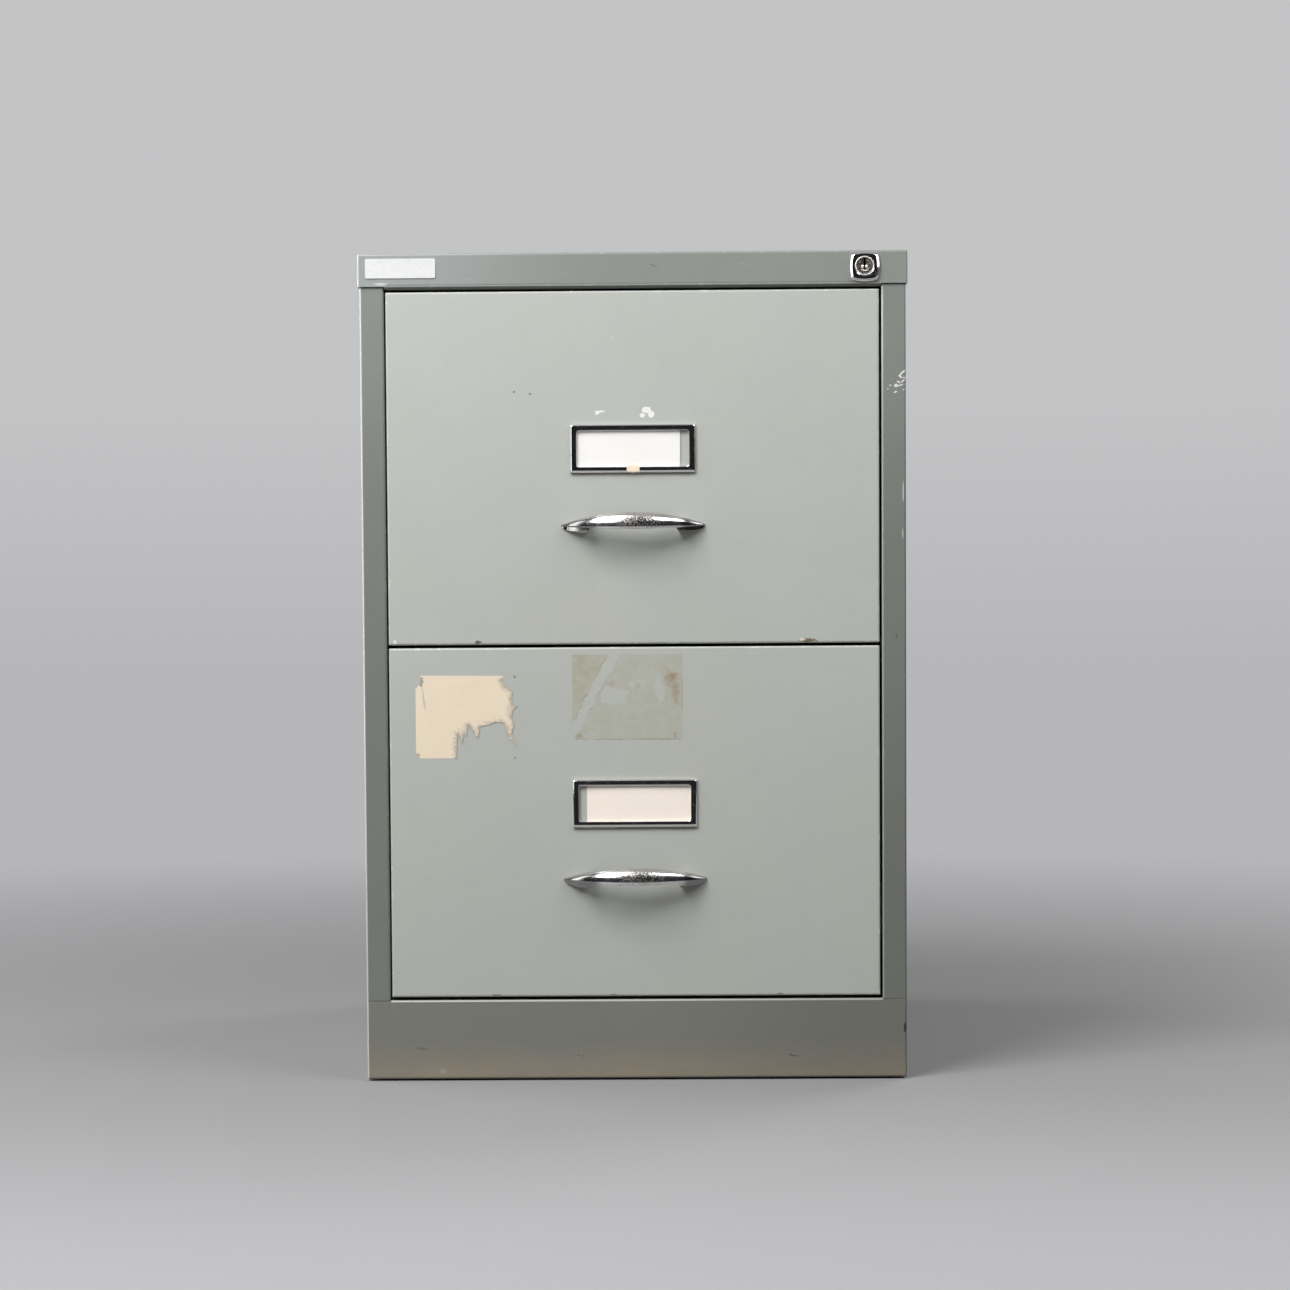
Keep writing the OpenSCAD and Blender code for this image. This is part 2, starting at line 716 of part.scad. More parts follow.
// Bow seen from above and leaf seen from the front, with feet that widen towards the drawer.
module handle(i) {
    half = handle_l / 2;
    full = 2 * handle_reach;
    foot_rise = grip_rise * 0.9;
    color("#d4d6d8") translate([front_shift, face_y, drawer_z(i) + handle_z]) difference() {
        intersection() {
            rotate([90, 0, 0]) linear_extrude(full) leaf(grip_rise, foot_sag);
            rotate([90, 0, 90]) translate([0, 0, -half]) linear_extrude(handle_l)
                polygon([[0, -foot_sag], [0, foot_rise], [grip_t - handle_reach, grip_rise],
                    [-full, grip_rise], [-full, -grip_drop], [grip_t - handle_reach, -grip_drop],
                    [-foot_slope, -grip_drop], [0, -foot_drop]]);
            mirror([0, 1, 0]) translate([0, 0, -full]) linear_extrude(2 * full) intersection() {
                arc_disc(half, tip_depth, handle_reach - tip_depth);
                translate([-half, 0]) square([handle_l, full]);
            }
        }
        translate([0, 0, -full]) linear_extrude(2 * full)
            round_rect([-finger_l / 2, grip_t - handle_reach], [finger_l / 2, handle_reach],
                finger_corner);
        for (x = [-1, 1]) translate([x * handle_pitch / 2, 1, screw_z() - handle_z])
            rotate([90, 0, 0]) cylinder(r = screw_r + screw_play, h = screw_in + 1.3);
    }
}

module handle_screws(i) {
    color("#c4c8cb") for (x = [-1, 1])
        translate([front_shift + x * handle_pitch / 2, face_y + sheet_t, drawer_z(i) + screw_z()]) {
            rotate([90, 0, 0]) cylinder(r = screw_r, h = sheet_t + screw_in);
            difference() {
                rotate([-90, 0, 0]) cylinder(r = screw_head_r, h = screw_head_h);
                translate([-screw_head_r, screw_head_h - 0.8, -0.5])
                    cube([2 * screw_head_r, 1.8, 1]);
            }
        }
}

// Bevelled frame with a round-cornered window, a pocket behind it and two tabs through the front.
module label_holder(i) {
    w = label_w / 2;
    h = label_h / 2;
    pocket_w = label_w - label_border - 1;
    color("#d4d6d8") translate([front_shift, face_y, drawer_z(i) + label_z]) {
        difference() {
            intersection() {
                translate([0, 0, -h]) linear_extrude(2 * h)
                    polygon([[-w, 0], [w, 0], [w, label_bevel - label_d], [w - label_bevel, -label_d],
                        [label_bevel - w, -label_d], [-w, label_bevel - label_d]]);
                rotate([90, 0, 90]) translate([0, 0, -w]) linear_extrude(2 * w)
                    polygon([[0, -h], [0, h], [label_bevel - label_d, h], [-label_d, h - label_bevel],
                        [-label_d, label_bevel - h], [label_bevel - label_d, -h]]);
            }
            translate([0, 1, 0]) rotate([90, 0, 0]) linear_extrude(label_d + 2)
                round_rect([label_border - w, label_border - h],
                    [w - label_border, h - label_border], window_r);
            translate([-pocket_w / 2, -pocket_d, -card_h / 2 - 0.3])
                cube([pocket_w, pocket_d + 1, card_h + 0.6]);
        }
        for (x = [-1, 1], s = [-1, 1])
            translate([x * label_tab_x(), 0, s * label_tab_z()]) label_tab();
    }
}

// Tab through the drawer front, bent up behind it.
module label_tab() {
    translate([-tab_w / 2, -pocket_d, -tab_t / 2]) cube([tab_w, pocket_d + sheet_t + fit + tab_t, tab_t]);
    translate([-tab_w / 2, sheet_t + fit, -tab_t / 2]) cube([tab_w, tab_t, tab_l]);
}

// The upper card lies at the left end of its pocket and the lower one at the right end.
module label_card(i) {
    side = i == UPPER ? LEFT : RIGHT;
    slack = (label_w - label_border - 1 - card_w) / 2 - pocket_play;
    color("#f6f2e8") translate([front_shift + side * slack - card_w / 2, face_y - pocket_d + 0.1,
        drawer_z(i) + label_z - card_h / 2]) cube([card_w, card_t, card_h]);
}

// ---- Lock ----

module at_lock(y) {
    translate([lock_x, y, lock_z]) rotate([90, 0, 0]) children();
}

// Square with bulging sides: four large discs shared.
module bulged_square(w, bulge) {
    intersection_for(a = [0 : 90 : 270]) rotate(a) translate([w / 2 - bulge, 0]) circle(bulge);
}

module lock_housing() {
    dish = 1.6;
    rim = 2.6;
    color("#d4d6d8") difference() {
        union() {
            at_lock(cap_y) {
                linear_extrude(bezel_d - 1.4) bulged_square(bezel_w, bezel_bulge);
                linear_extrude(bezel_d) bulged_square(bezel_w - 2, bezel_bulge);
            }
            at_lock(cap_y + barrel_l) cylinder(r = barrel_r, h = barrel_l + 1);
        }
        difference() {
            at_lock(cap_y - bezel_d + dish) linear_extrude(dish + 1)
                bulged_square(bezel_w - 2 * rim, bezel_bulge);
            at_lock(cap_y) cylinder(r = ring_r, h = bezel_d - 0.2);
        }
        at_lock(cap_y + barrel_l + 1) cylinder(r = plug_r + plug_play, h = barrel_l + bezel_d + 2);
    }
}

module lock_nut() {
    y = face_y + sheet_t + fit;
    color("#c4c8cb") at_lock(y + nut_t) difference() {
        cylinder(r = nut_af / sqrt(3), h = nut_t, $fn = 6);
        translate([0, 0, -1]) cylinder(r = barrel_r + fit, h = nut_t + 2);
    }
}

module lock_plug() {
    recess = 0.9;
    keyway_h = 8.6;
    color("#c9b8a8") difference() {
        union() {
            at_lock(cam_y) cylinder(r = plug_r, h = cam_y - cap_y + bezel_d - recess);
            at_lock(cam_y + cam_t) cylinder(r = 3, h = cam_t + 1);
        }
        at_lock(cap_y - bezel_d + 8) translate([-keyway_w / 2, plug_r - keyway_h - 0.8, 0])
            cube([keyway_w, keyway_h, 12]);
        at_lock(cam_y + cam_t + 1) cylinder(r = 1.5 + fit, h = 8);
    }
}

// Disc behind the cylinder with the crank pin that lifts the lock bar.
module lock_cam() {
    disc_r = crank_r + crank_pin_r + 1.2;
    pin_end = bar_y + bar_t + 1.5;
    color("#c4c8cb") difference() {
        union() {
            at_lock(cam_y + cam_t) cylinder(r = disc_r, h = cam_t - fit);
            translate([lock_x - crank_r * cos(crank_angle), pin_end, lock_z - crank_r * sin(crank_angle)])
                rotate([90, 0, 0]) cylinder(r = crank_pin_r, h = pin_end - cam_y - 1);
        }
        at_lock(cam_y + cam_t + 1) cylinder(r = 3 + fit / 2, h = cam_t + 2);
    }
}

module cam_screw() {
    head_h = 1.8;
    color("#c4c8cb") {
        at_lock(cam_y + cam_t + fit + head_h) cylinder(r = 4, h = head_h);
        at_lock(cam_y + cam_t + fit + 0.1) cylinder(r = 1.5, h = 7);
    }
}

// Flat bar with an arm to the crank pin and one lug for each drawer. Drawn as its front outline.
module lock_bar() {
    pin_x = lock_x - crank_r * cos(crank_angle);
    pin_z = lock_z - crank_r * sin(crank_angle);
    arm_x0 = lock_x - crank_r - crank_pin_r - 4;
    z0 = drawer_z(LOWER) + lug_z - 65;
    slot_half = crank_pin_r + pin_slot_play;
    slot_x0 = lock_x - crank_r - slot_half;
    color("#b0b4b7") translate([0, bar_y + bar_t, 0]) rotate([90, 0, 0]) linear_extrude(bar_t)
        difference() {
            union() {
                translate([bar_x0, z0]) square([bar_w, pin_z + arm_half - z0]);
                translate([arm_x0, pin_z - arm_half]) square([bar_x0 - arm_x0 + 1, 2 * arm_half]);
                for (i = [LOWER, UPPER]) translate([lug_x, drawer_z(i) + lug_z])
                    square([bar_x0 - lug_x + 1, lug_h]);
            }
            translate([slot_x0, pin_z - slot_half]) square([pin_x + slot_half - slot_x0, 2 * slot_half]);
        }
}

// Nylon blocks on the right side panel that keep the bar upright.
module lock_bar_guides() {
    x0 = bar_x0 - guide_play - guide_wall;
    for (z = [drawer_z(LOWER) + lug_z - 45, drawer_z(UPPER) + lug_z - 45, drawer_z(UPPER) + lug_z + 45])
        color("#e8e8e4") difference() {
            translate([x0, bar_y - 3, z]) cube([inner_x - x0, bar_t + 6, guide_h]);
            translate([bar_x0 - guide_play, bar_y - guide_play, z - 1])
                cube([bar_w + 2 * guide_play, bar_t + 2 * guide_play, guide_h + 2]);
        }
}

// Angle on the tray's right side that the raised lug stands in front of.
module lock_catch(i) {
    y = bar_y + bar_t + catch_gap;
    z = drawer_z(i) + lug_z + lug_h + lug_gap;
    color("#b0b4b7") {
        translate([tray_x, y, z]) cube([catch_x - tray_x, catch_t, catch_h]);
        translate([tray_x, y, z]) cube([1.5, 16, catch_h]);
    }
}

// ---- Parts ----

side_panel(LEFT);  // side_panel_left
side_panel(RIGHT);  // side_panel_right
back_panel();
top_cap();
plinth();
base_pan();
header_rail();
upright(LEFT, upright_front_y());  // upright_front_left
upright(RIGHT, upright_front_y());  // upright_front_right
upright(LEFT, upright_rear_y());  // upright_rear_left
upright(RIGHT, upright_rear_y());  // upright_rear_right
badge_plate();
corner_glides();
lock_housing();
lock_nut();
lock_bar_guides();
rear_buffers();
cabinet_runner(UPPER, LEFT);  // cabinet_runner_upper_left
cabinet_runner(UPPER, RIGHT);  // cabinet_runner_upper_right
cabinet_runner(LOWER, LEFT);  // cabinet_runner_lower_left
cabinet_runner(LOWER, RIGHT);  // cabinet_runner_lower_right
lock_plug();
lock_cam();
cam_screw();
lock_bar();
drawer_front(UPPER);  // drawer_front_upper
front_liner(UPPER);  // front_liner_upper
drawer_tray(UPPER);  // drawer_tray_upper
drawer_back(UPPER);  // drawer_back_upper
file_rails(UPPER);  // file_rails_upper
handle(UPPER);  // handle_upper
handle_screws(UPPER);  // handle_screws_upper
label_holder(UPPER);  // label_holder_upper
label_card(UPPER);  // label_card_upper
lock_catch(UPPER);  // lock_catch_upper
drawer_runner(UPPER, LEFT);  // drawer_runner_upper_left
drawer_runner(UPPER, RIGHT);  // drawer_runner_upper_right
tray_rivets(UPPER);  // tray_rivets_upper
drawer_front(LOWER);  // drawer_front_lower
front_liner(LOWER);  // front_liner_lower
drawer_tray(LOWER);  // drawer_tray_lower
drawer_back(LOWER);  // drawer_back_lower
file_rails(LOWER);  // file_rails_lower
handle(LOWER);  // handle_lower
handle_screws(LOWER);  // handle_screws_lower
label_holder(LOWER);  // label_holder_lower
label_card(LOWER);  // label_card_lower
lock_catch(LOWER);  // lock_catch_lower
drawer_runner(LOWER, LEFT);  // drawer_runner_lower_left
drawer_runner(LOWER, RIGHT);  // drawer_runner_lower_right
tray_rivets(LOWER);  // tray_rivets_lower
middle_runner(UPPER, LEFT);  // middle_runner_upper_left
middle_runner(UPPER, RIGHT);  // middle_runner_upper_right
middle_runner(LOWER, LEFT);  // middle_runner_lower_left
middle_runner(LOWER, RIGHT);  // middle_runner_lower_right
ball_cages(UPPER, outer_ball_v);  // outer_ball_cages_upper
ball_cages(LOWER, outer_ball_v);  // outer_ball_cages_lower
ball_cages(UPPER, inner_ball_v);  // inner_ball_cages_upper
ball_cages(LOWER, inner_ball_v);  // inner_ball_cages_lower
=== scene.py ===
# Two-drawer steel filing cabinet: its finishes, trim, labels and wear, and the studio round it.
import json
import math
from functools import partialmethod

import bmesh
import bpy
import numpy as np
from mathutils import Matrix, Vector


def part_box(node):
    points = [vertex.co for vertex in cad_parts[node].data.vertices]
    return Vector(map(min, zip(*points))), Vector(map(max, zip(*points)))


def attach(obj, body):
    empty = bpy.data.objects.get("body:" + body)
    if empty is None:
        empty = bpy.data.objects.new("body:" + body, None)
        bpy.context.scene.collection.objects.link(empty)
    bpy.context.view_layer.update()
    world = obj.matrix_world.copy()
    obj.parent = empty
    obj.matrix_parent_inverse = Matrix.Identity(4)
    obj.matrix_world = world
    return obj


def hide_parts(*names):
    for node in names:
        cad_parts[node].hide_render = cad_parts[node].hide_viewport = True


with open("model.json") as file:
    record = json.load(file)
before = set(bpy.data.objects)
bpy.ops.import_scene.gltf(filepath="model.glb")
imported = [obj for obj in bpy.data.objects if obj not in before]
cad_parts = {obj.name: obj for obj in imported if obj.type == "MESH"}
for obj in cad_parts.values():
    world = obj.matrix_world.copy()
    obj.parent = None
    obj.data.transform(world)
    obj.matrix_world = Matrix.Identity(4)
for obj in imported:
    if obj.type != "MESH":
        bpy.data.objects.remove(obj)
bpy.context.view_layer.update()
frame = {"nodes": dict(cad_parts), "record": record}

MM = 0.001
PICTURE_PX = 1290  # side of the square picture
SLOT_OF = {part["node"]: part["material_slot"] for part in frame["record"]["subparts"]}
DRAWERS = ("lower", "upper")


def middle_of(node):
    """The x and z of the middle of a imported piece."""
    lo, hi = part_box(node)
    return (lo.x + hi.x) / 2, (lo.z + hi.z) / 2


FACE_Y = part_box("drawer_front_upper")[0].y
FRONT_X = {level: middle_of(f"drawer_front_{level}")[0] for level in DRAWERS}
FOOT_Z = {level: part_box(f"drawer_front_{level}")[0].z for level in DRAWERS}
CAP_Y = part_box("top_cap")[0].y
CAP_FOOT_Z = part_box("top_cap")[0].z
PLINTH_TOP_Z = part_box("plinth")[1].z
CAP_EDGE_X = 0.2350  # half the cap's width
SIDE_EDGE_X = 0.2335  # half the width over the side panels
STILE_INNER_X = 0.2125  # inner edge of each stile


def put(name, data):
    """A new object with the data, in the scene."""
    thing = bpy.data.objects.new(name, data)
    bpy.context.scene.collection.objects.link(thing)
    return thing


def wire(tree, socket, value):
    """Links a socket, or sets its constant."""
    if isinstance(value, bpy.types.NodeSocket):
        tree.links.new(value, socket)
    elif isinstance(value, tuple) and len(value) == 3 and socket.type == "RGBA":
        socket.default_value = (*value, 1)
    else:
        socket.default_value = value


def add_node(tree, kind, inputs=None, **settings):
    """A new node of a tree with its settings, and its inputs linked or set."""
    node = tree.nodes.new(kind)
    for key, value in settings.items():
        setattr(node, key, value)
    for place, value in (inputs or {}).items():
        wire(tree, node.inputs[place], value)
    return node


def times(colour, share):
    """The colour made darker or paler, held at 1."""
    return tuple(min(1.0, channel * share) for channel in colour)


# ---- Camera ----

def make_camera():
    """A long lens in front of the cabinet, a little below its middle and turned slightly down."""
    focal_px, centre_px, centre_py = 2937.6, 621.5, 814.7
    yaw, pitch, roll = math.radians(0.685), math.radians(-2.855), math.radians(-0.375)
    place = (0.0182, -2.8256, 0.3561)
    data = bpy.data.cameras.new("front_camera")
    data.sensor_width = 36
    data.lens = data.sensor_width * focal_px / PICTURE_PX
    data.shift_x = (PICTURE_PX / 2 - centre_px) / PICTURE_PX
    data.shift_y = (centre_py - PICTURE_PX / 2) / PICTURE_PX
    data.clip_start, data.clip_end = 0.1, 60
    camera = put("front_camera", data)
    turn = Matrix.Rotation(yaw, 4, "Z") @ Matrix.Rotation(math.radians(90) + pitch, 4, "X")
    camera.matrix_world = Matrix.Translation(place) @ turn @ Matrix.Rotation(roll, 4, "Z")
    bpy.context.scene.camera = camera


# ---- Shader building ----

class Finish:
    """A material and the few node shapes that the finishes below are laid out with."""

    def __init__(self, name):
        self.material = bpy.data.materials.new(name)
        self.material.use_nodes = True
        self.tree = self.material.node_tree
        self.shader = self.tree.nodes["Principled BSDF"]
        self.place = self.add("ShaderNodeTexCoord").outputs["Object"]
        self.x, self.y, self.z = self.add("ShaderNodeSeparateXYZ", {0: self.place}).outputs

    def add(self, kind, inputs=None, **settings):
        return add_node(self.tree, kind, inputs, **settings)

    def set(self, **values):
        for key, value in values.items():
            wire(self.tree, self.shader.inputs[key.replace("_", " ")], value)

    def maths(self, operation, *values):
        return self.add("ShaderNodeMath", dict(enumerate(values)), operation=operation).outputs[0]

    plus, minus = partialmethod(maths, "ADD"), partialmethod(maths, "SUBTRACT")
    least, most = partialmethod(maths, "MINIMUM"), partialmethod(maths, "MAXIMUM")
    absolute = partialmethod(maths, "ABSOLUTE")
    both = partialmethod(maths, "MULTIPLY")  # where two masks overlap, or one mask at a strength
    scaled = partialmethod(maths, "MULTIPLY_ADD")  # a value times a gain, plus an offset

    def outside(self, mask):
        return self.minus(1.0, mask)

    def stretch(self, scale, turn=(0, 0, 0), centre=(0, 0, 0)):
        """Object coordinates moved to a centre, turned, then scaled by three factors."""
        sizes = [1 / max(factor, 1e-6) for factor in scale]
        inputs = {"Vector": self.place, "Location": centre, "Rotation": turn, "Scale": sizes}
        return self.add("ShaderNodeMapping", inputs, vector_type="TEXTURE").outputs[0]

    def noise(self, scale, detail=3, rough=0.5, where=None):
        inputs = {"Vector": where or self.place, "Scale": scale, "Detail": detail, "Roughness": rough}
        return self.add("ShaderNodeTexNoise", inputs).outputs[0]

    def cells(self, scale):
        return self.add("ShaderNodeTexVoronoi", {"Vector": self.place, "Scale": scale}).outputs

    def band(self, value, start, end, low=0.0, high=1.0):
        """low up to start, high from end on, and a smooth rise between."""
        inputs = dict(enumerate((value, start, end, low, high)))
        return self.add("ShaderNodeMapRange", inputs, interpolation_type="SMOOTHSTEP").outputs[0]

    def mix(self, factor, first, second):
        return self.add("ShaderNodeMix", {0: factor, 6: first, 7: second}, data_type="RGBA").outputs[2]

    def bump(self, height, depth):
        """Chains a bump of that depth in metres onto those laid before it."""
        node = self.add("ShaderNodeBump", {"Strength": 1, "Distance": depth, "Height": height})
        normal = self.shader.inputs["Normal"]
        if normal.links:
            self.tree.links.new(normal.links[0].from_socket, node.inputs["Normal"])
        self.tree.links.new(node.outputs[0], normal)

    def spot(self, x, z, half_w, half_h, ragged=0.5, grain=900, turn=0.0, soft=0.15):
        """1 inside an ellipse on the front whose edge noise breaks. Lengths are in millimetres."""
        front = self.band(self.y, CAP_Y + 6.5 * MM, CAP_Y + 4.5 * MM)
        where = self.stretch((1 / (half_w * MM), 0, 1 / (half_h * MM)), (0, turn, 0), (x * MM, 0, z * MM))
        length = self.add("ShaderNodeVectorMath", {0: where}, operation="LENGTH").outputs["Value"]
        broken = self.scaled(self.noise(grain, 2), 2 * ragged, -ragged)
        reach = self.plus(length, broken)
        return self.both(front, self.band(reach, 1.0, 1.0 - soft))

    def edge(self, lo, hi):
        """Distance in metres from the nearest edge of the box lo..hi, for a point on its faces."""
        a, b, c = [self.least(self.minus(axis, low), self.minus(high, axis))
                   for axis, low, high in zip((self.x, self.y, self.z), lo, hi)]
        # the middle one of the three, because the smallest is always 0 on a face
        return self.most(self.least(a, b), self.least(self.most(a, b), c))


# ---- Finishes ----

WHITE_MARK = (0.72, 0.72, 0.69)
BARE_STEEL = (0.30, 0.28, 0.25)
RUST = (0.16, 0.085, 0.04)
# colour of the painted highlight along the left folds
FOLD_HIGHLIGHT = (0.62, 0.64, 0.61)
# colour of painted highlights on folds and edges
PAINTED_HIGHLIGHT = (0.66, 0.68, 0.65)


def enamel(name, colour, node, marks=None, dirt=0.0):
    """Stove enamel on folded sheet: orange peel, faint clouding, rubbed edges and small chips."""
    f = Finish(name)
    lo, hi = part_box(node)
    red, green, blue = colour
    paint = f.mix(f.band(f.noise(5, 5, 0.6), 0.35, 0.7), colour, (red * 1.01, green, blue * 0.975))
    paint = f.mix(f.band(f.noise(60, 6, 0.7), 0.52, 0.8, 0, 0.35), paint, times(colour, 0.86))
    if dirt:
        low = f.band(f.z, lo.z + 36 * MM, lo.z)
        cloudy = f.band(f.noise(22, 6, 0.7, f.stretch((0.6, 1, 2))), 0.3, 0.7, 0.55, 1.0)
        paint = f.mix(f.both(f.both(low, cloudy), dirt), paint, (0.30, 0.25, 0.175))
    edge = f.edge(lo, hi)
    rubbed = f.both(f.band(edge, 2.2 * MM, 0.6 * MM), f.band(f.noise(130, 4, 0.6), 0.56, 0.66))
    paint = f.mix(f.both(rubbed, 0.55), paint, times(colour, 1.6))
    chipped = f.both(f.band(edge, 2.6 * MM, 1.2 * MM), f.band(f.noise(260, 3, 0.6), 0.69, 0.705))
    paint = f.mix(chipped, paint, BARE_STEEL)
    for strength, mark, tone in (marks(f) if marks else ()):
        paint = f.mix(f.both(mark, strength), paint, tone)
    gloss = f.band(f.noise(22, 4, 0.6), 0.3, 0.75, 0.36, 0.46)
    f.set(Base_Color=paint, Roughness=f.scaled(chipped, 0.2, gloss), Metallic=0.0,
          Coat_Weight=0.5, Coat_Roughness=0.22)
    for height, depth in ((f.noise(650, 2), 0.01), (f.noise(4.5, 1), 0.4), (f.outside(chipped), 0.08)):
        f.bump(height, depth * MM)
    return f.material


FRAME_GREY = (0.170, 0.183, 0.166)
# painted light: the cap's grey is paler than the frame's, as more light falls on the cap from above
CAP_GREY_PAINTED_LIT = (0.228, 0.244, 0.226)
PLINTH_GREY = (0.185, 0.184, 0.164)
DRAWER_GREY = (0.440, 0.458, 0.428)
INNER_GREY = (0.26, 0.275, 0.25)


def strokes(f, right, up, *rows):
    """Scratches, as rows of (strength, tone, marks) with a grain and a raggedness where they differ.

    A mark is (x, z, half length, half width, slope in degrees) from the point right, up. All lengths
    are in millimetres.
    """
    for strength, tone, marks, *edge in rows:
        grain, ragged = edge or (900, 0.7)
        for x, z, half_w, half_h, slope in marks:
            turn = math.radians(-slope)
            yield strength, f.spot(right + x, up + z, half_w, half_h, ragged, grain, turn), tone


def on_front(f):
    """1 on the frame's front faces, 0 behind them."""
    return f.band(f.y, CAP_Y + 4.5 * MM, CAP_Y + 3.0 * MM)


def fold_highlight_and_shade(f, edge_x):
    """Painted highlight along the left fold, and painted shade along the right one."""
    near = on_front(f)
    left = f.band(f.x, -edge_x + 1.7 * MM, -edge_x + 1.0 * MM)
    right = f.band(f.x, edge_x - 1.0 * MM, edge_x - 0.6 * MM)
    yield 0.6, f.both(near, left), FOLD_HIGHLIGHT
    yield 0.75, f.both(near, right), (0.03, 0.035, 0.04)


def cap_marks(f):
    """Painted light: paler towards the left, where the light falls, and a painted highlight above the foot
    on the left, with smears.
    """
    soft_dark = (0.09, 0.095, 0.085)
    # painted light: paler and bluer towards the left, where the light falls
    yield 0.42, f.band(f.x, -0.03, -0.215), (0.37, 0.40, 0.41)
    yield from fold_highlight_and_shade(f, CAP_EDGE_X)
    # painted highlight above the cap's foot on the left
    yield 0.7, f.spot(-215, 685.2, 8.5, 1.6, 0.3, 300, 0, 0.9), PAINTED_HIGHLIGHT
    yield from strokes(
        f, 0, 683,
        (0.55, soft_dark, ((18.5, 16.2, 4.2, 0.55, -20),)),
        (0.35, soft_dark, ((9.5, 16.3, 0.6, 1.2, 0), (8.9, 8.8, 1.0, 0.9, 0))),
        (0.25, (0.45, 0.47, 0.44), ((-60, 10, 5, 0.35, 12), (96, 17, 6, 0.35, -9), (-140, 6, 4, 0.4, 5))))


def side_panel_light_and_shade(f):
    """Painted shadow under the cap's rim, darkest in the joint, and painted light: the paint paler towards
    the top.
    """
    # painted shadow under the cap's rim, darkest in the joint
    yield 0.95, f.band(f.z, CAP_FOOT_Z - 1.8 * MM, CAP_FOOT_Z - 1.1 * MM), (0.010, 0.011, 0.010)
    yield 0.35, f.band(f.z, CAP_FOOT_Z - 4.0 * MM, CAP_FOOT_Z - 1.0 * MM), (0.06, 0.065, 0.06)
    # painted light: paler towards the top
    yield 0.26, f.band(f.z, 0.46, 0.66), (0.30, 0.325, 0.305)
    yield from fold_highlight_and_shade(f, SIDE_EDGE_X)


def plinth_marks(f):
    """Dark seams under the stiles, a painted highlight along the top edge between them, soil, dark scuffs
    and painted shade towards the right.
    """
    outer = f.band(f.absolute(f.x), STILE_INNER_X - 0.1 * MM, STILE_INNER_X + 0.5 * MM)
    joint = f.band(f.z, PLINTH_TOP_Z - 1.0 * MM, PLINTH_TOP_Z - 0.3 * MM)
    yield 0.75, f.both(joint, outer), (0.03, 0.03, 0.028)
    yield from fold_highlight_and_shade(f, SIDE_EDGE_X)
    # painted highlight along the plinth's top edge between the stiles
    top_edge_highlight = f.band(f.z, PLINTH_TOP_Z - 1.8 * MM, PLINTH_TOP_Z - 1.0 * MM)
    yield 0.75, f.both(top_edge_highlight, f.outside(outer)), (0.46, 0.47, 0.44)
    dark = (0.055, 0.055, 0.05)
    yield from strokes(
        f, 0, 0,
        (0.75, dark, ((-188, 28.6, 3.2, 0.5, 0), (-183.5, 27.6, 2.6, 0.5, 8))),
        (0.6, dark, ((-50, 21.8, 2.0, 0.45, -24), (-47, 20.9, 1.4, 0.45, 40))),
        (0.85, dark, ((133, 21.2, 2.4, 0.6, -16), (137, 20.3, 2.6, 0.55, 4))),
        (1.0, (0.012, 0.012, 0.012), ((231.8, 44.5, 1.2, 4.5, 0),)),
        (0.3, (0.12, 0.10, 0.07), ((168, 27, 5, 0.4, 14), (186, 26, 4, 0.4, 0))))
    yield 0.35, f.spot(-168, 8.5, 5.0, 2.8, 0.5, 300, 0, 0.7), (0.42, 0.46, 0.40)
    # painted shade: darker towards the right
    yield 0.22, f.band(f.x, 0.0, 0.2), (0.06, 0.06, 0.05)


def right_side_marks(f):
    """A painted highlight along the inner fold, painted shade towards the foot, a scrape of white paint and
    two nicks.
    """
    yield from side_panel_light_and_shade(f)
    # painted highlight along the right stile's inner fold, stronger towards the top
    inner_fold_highlight = f.band(f.x, STILE_INNER_X + 1.6 * MM, STILE_INNER_X + 0.9 * MM)
    upwards = f.band(f.z, 0.56, 0.66, 0.4, 0.9)
    yield 0.9, f.both(f.both(on_front(f), inner_fold_highlight), upwards), PAINTED_HIGHLIGHT
    # painted shade: darker towards the foot
    yield 0.22, f.band(f.z, 0.42, 0.14), (0.06, 0.065, 0.06)
    scrape = ((230.9, 607.2, 4.4, 0.65, 39), (229.6, 606.2, 2.6, 0.6, 52), (228.7, 603.5, 1.9, 0.8, -33),
              (232.8, 602.6, 2.4, 0.6, 0), (227.2, 599.0, 1.9, 0.7, -26), (230.8, 599.7, 2.5, 0.6, 37),
              (224.9, 596.0, 1.8, 1.4, -10), (229.0, 596.3, 3.2, 0.55, 19), (220.2, 596.0, 0.9, 0.8, 45),
              (218.1, 593.0, 0.5, 0.8, 0), (224.6, 590.5, 1.6, 0.7, 15), (231.6, 592.3, 0.9, 0.6, 20))
    yield from strokes(
        f, 0, 0,
        (0.92, WHITE_MARK, scrape, 700, 0.6),
        (0.7, (0.08, 0.08, 0.07), ((225.2, 382, 0.9, 2.2, 0),)),
        (0.6, WHITE_MARK, ((231.0, 506, 0.5, 9, 0), (230.6, 470, 0.4, 5, 0))))


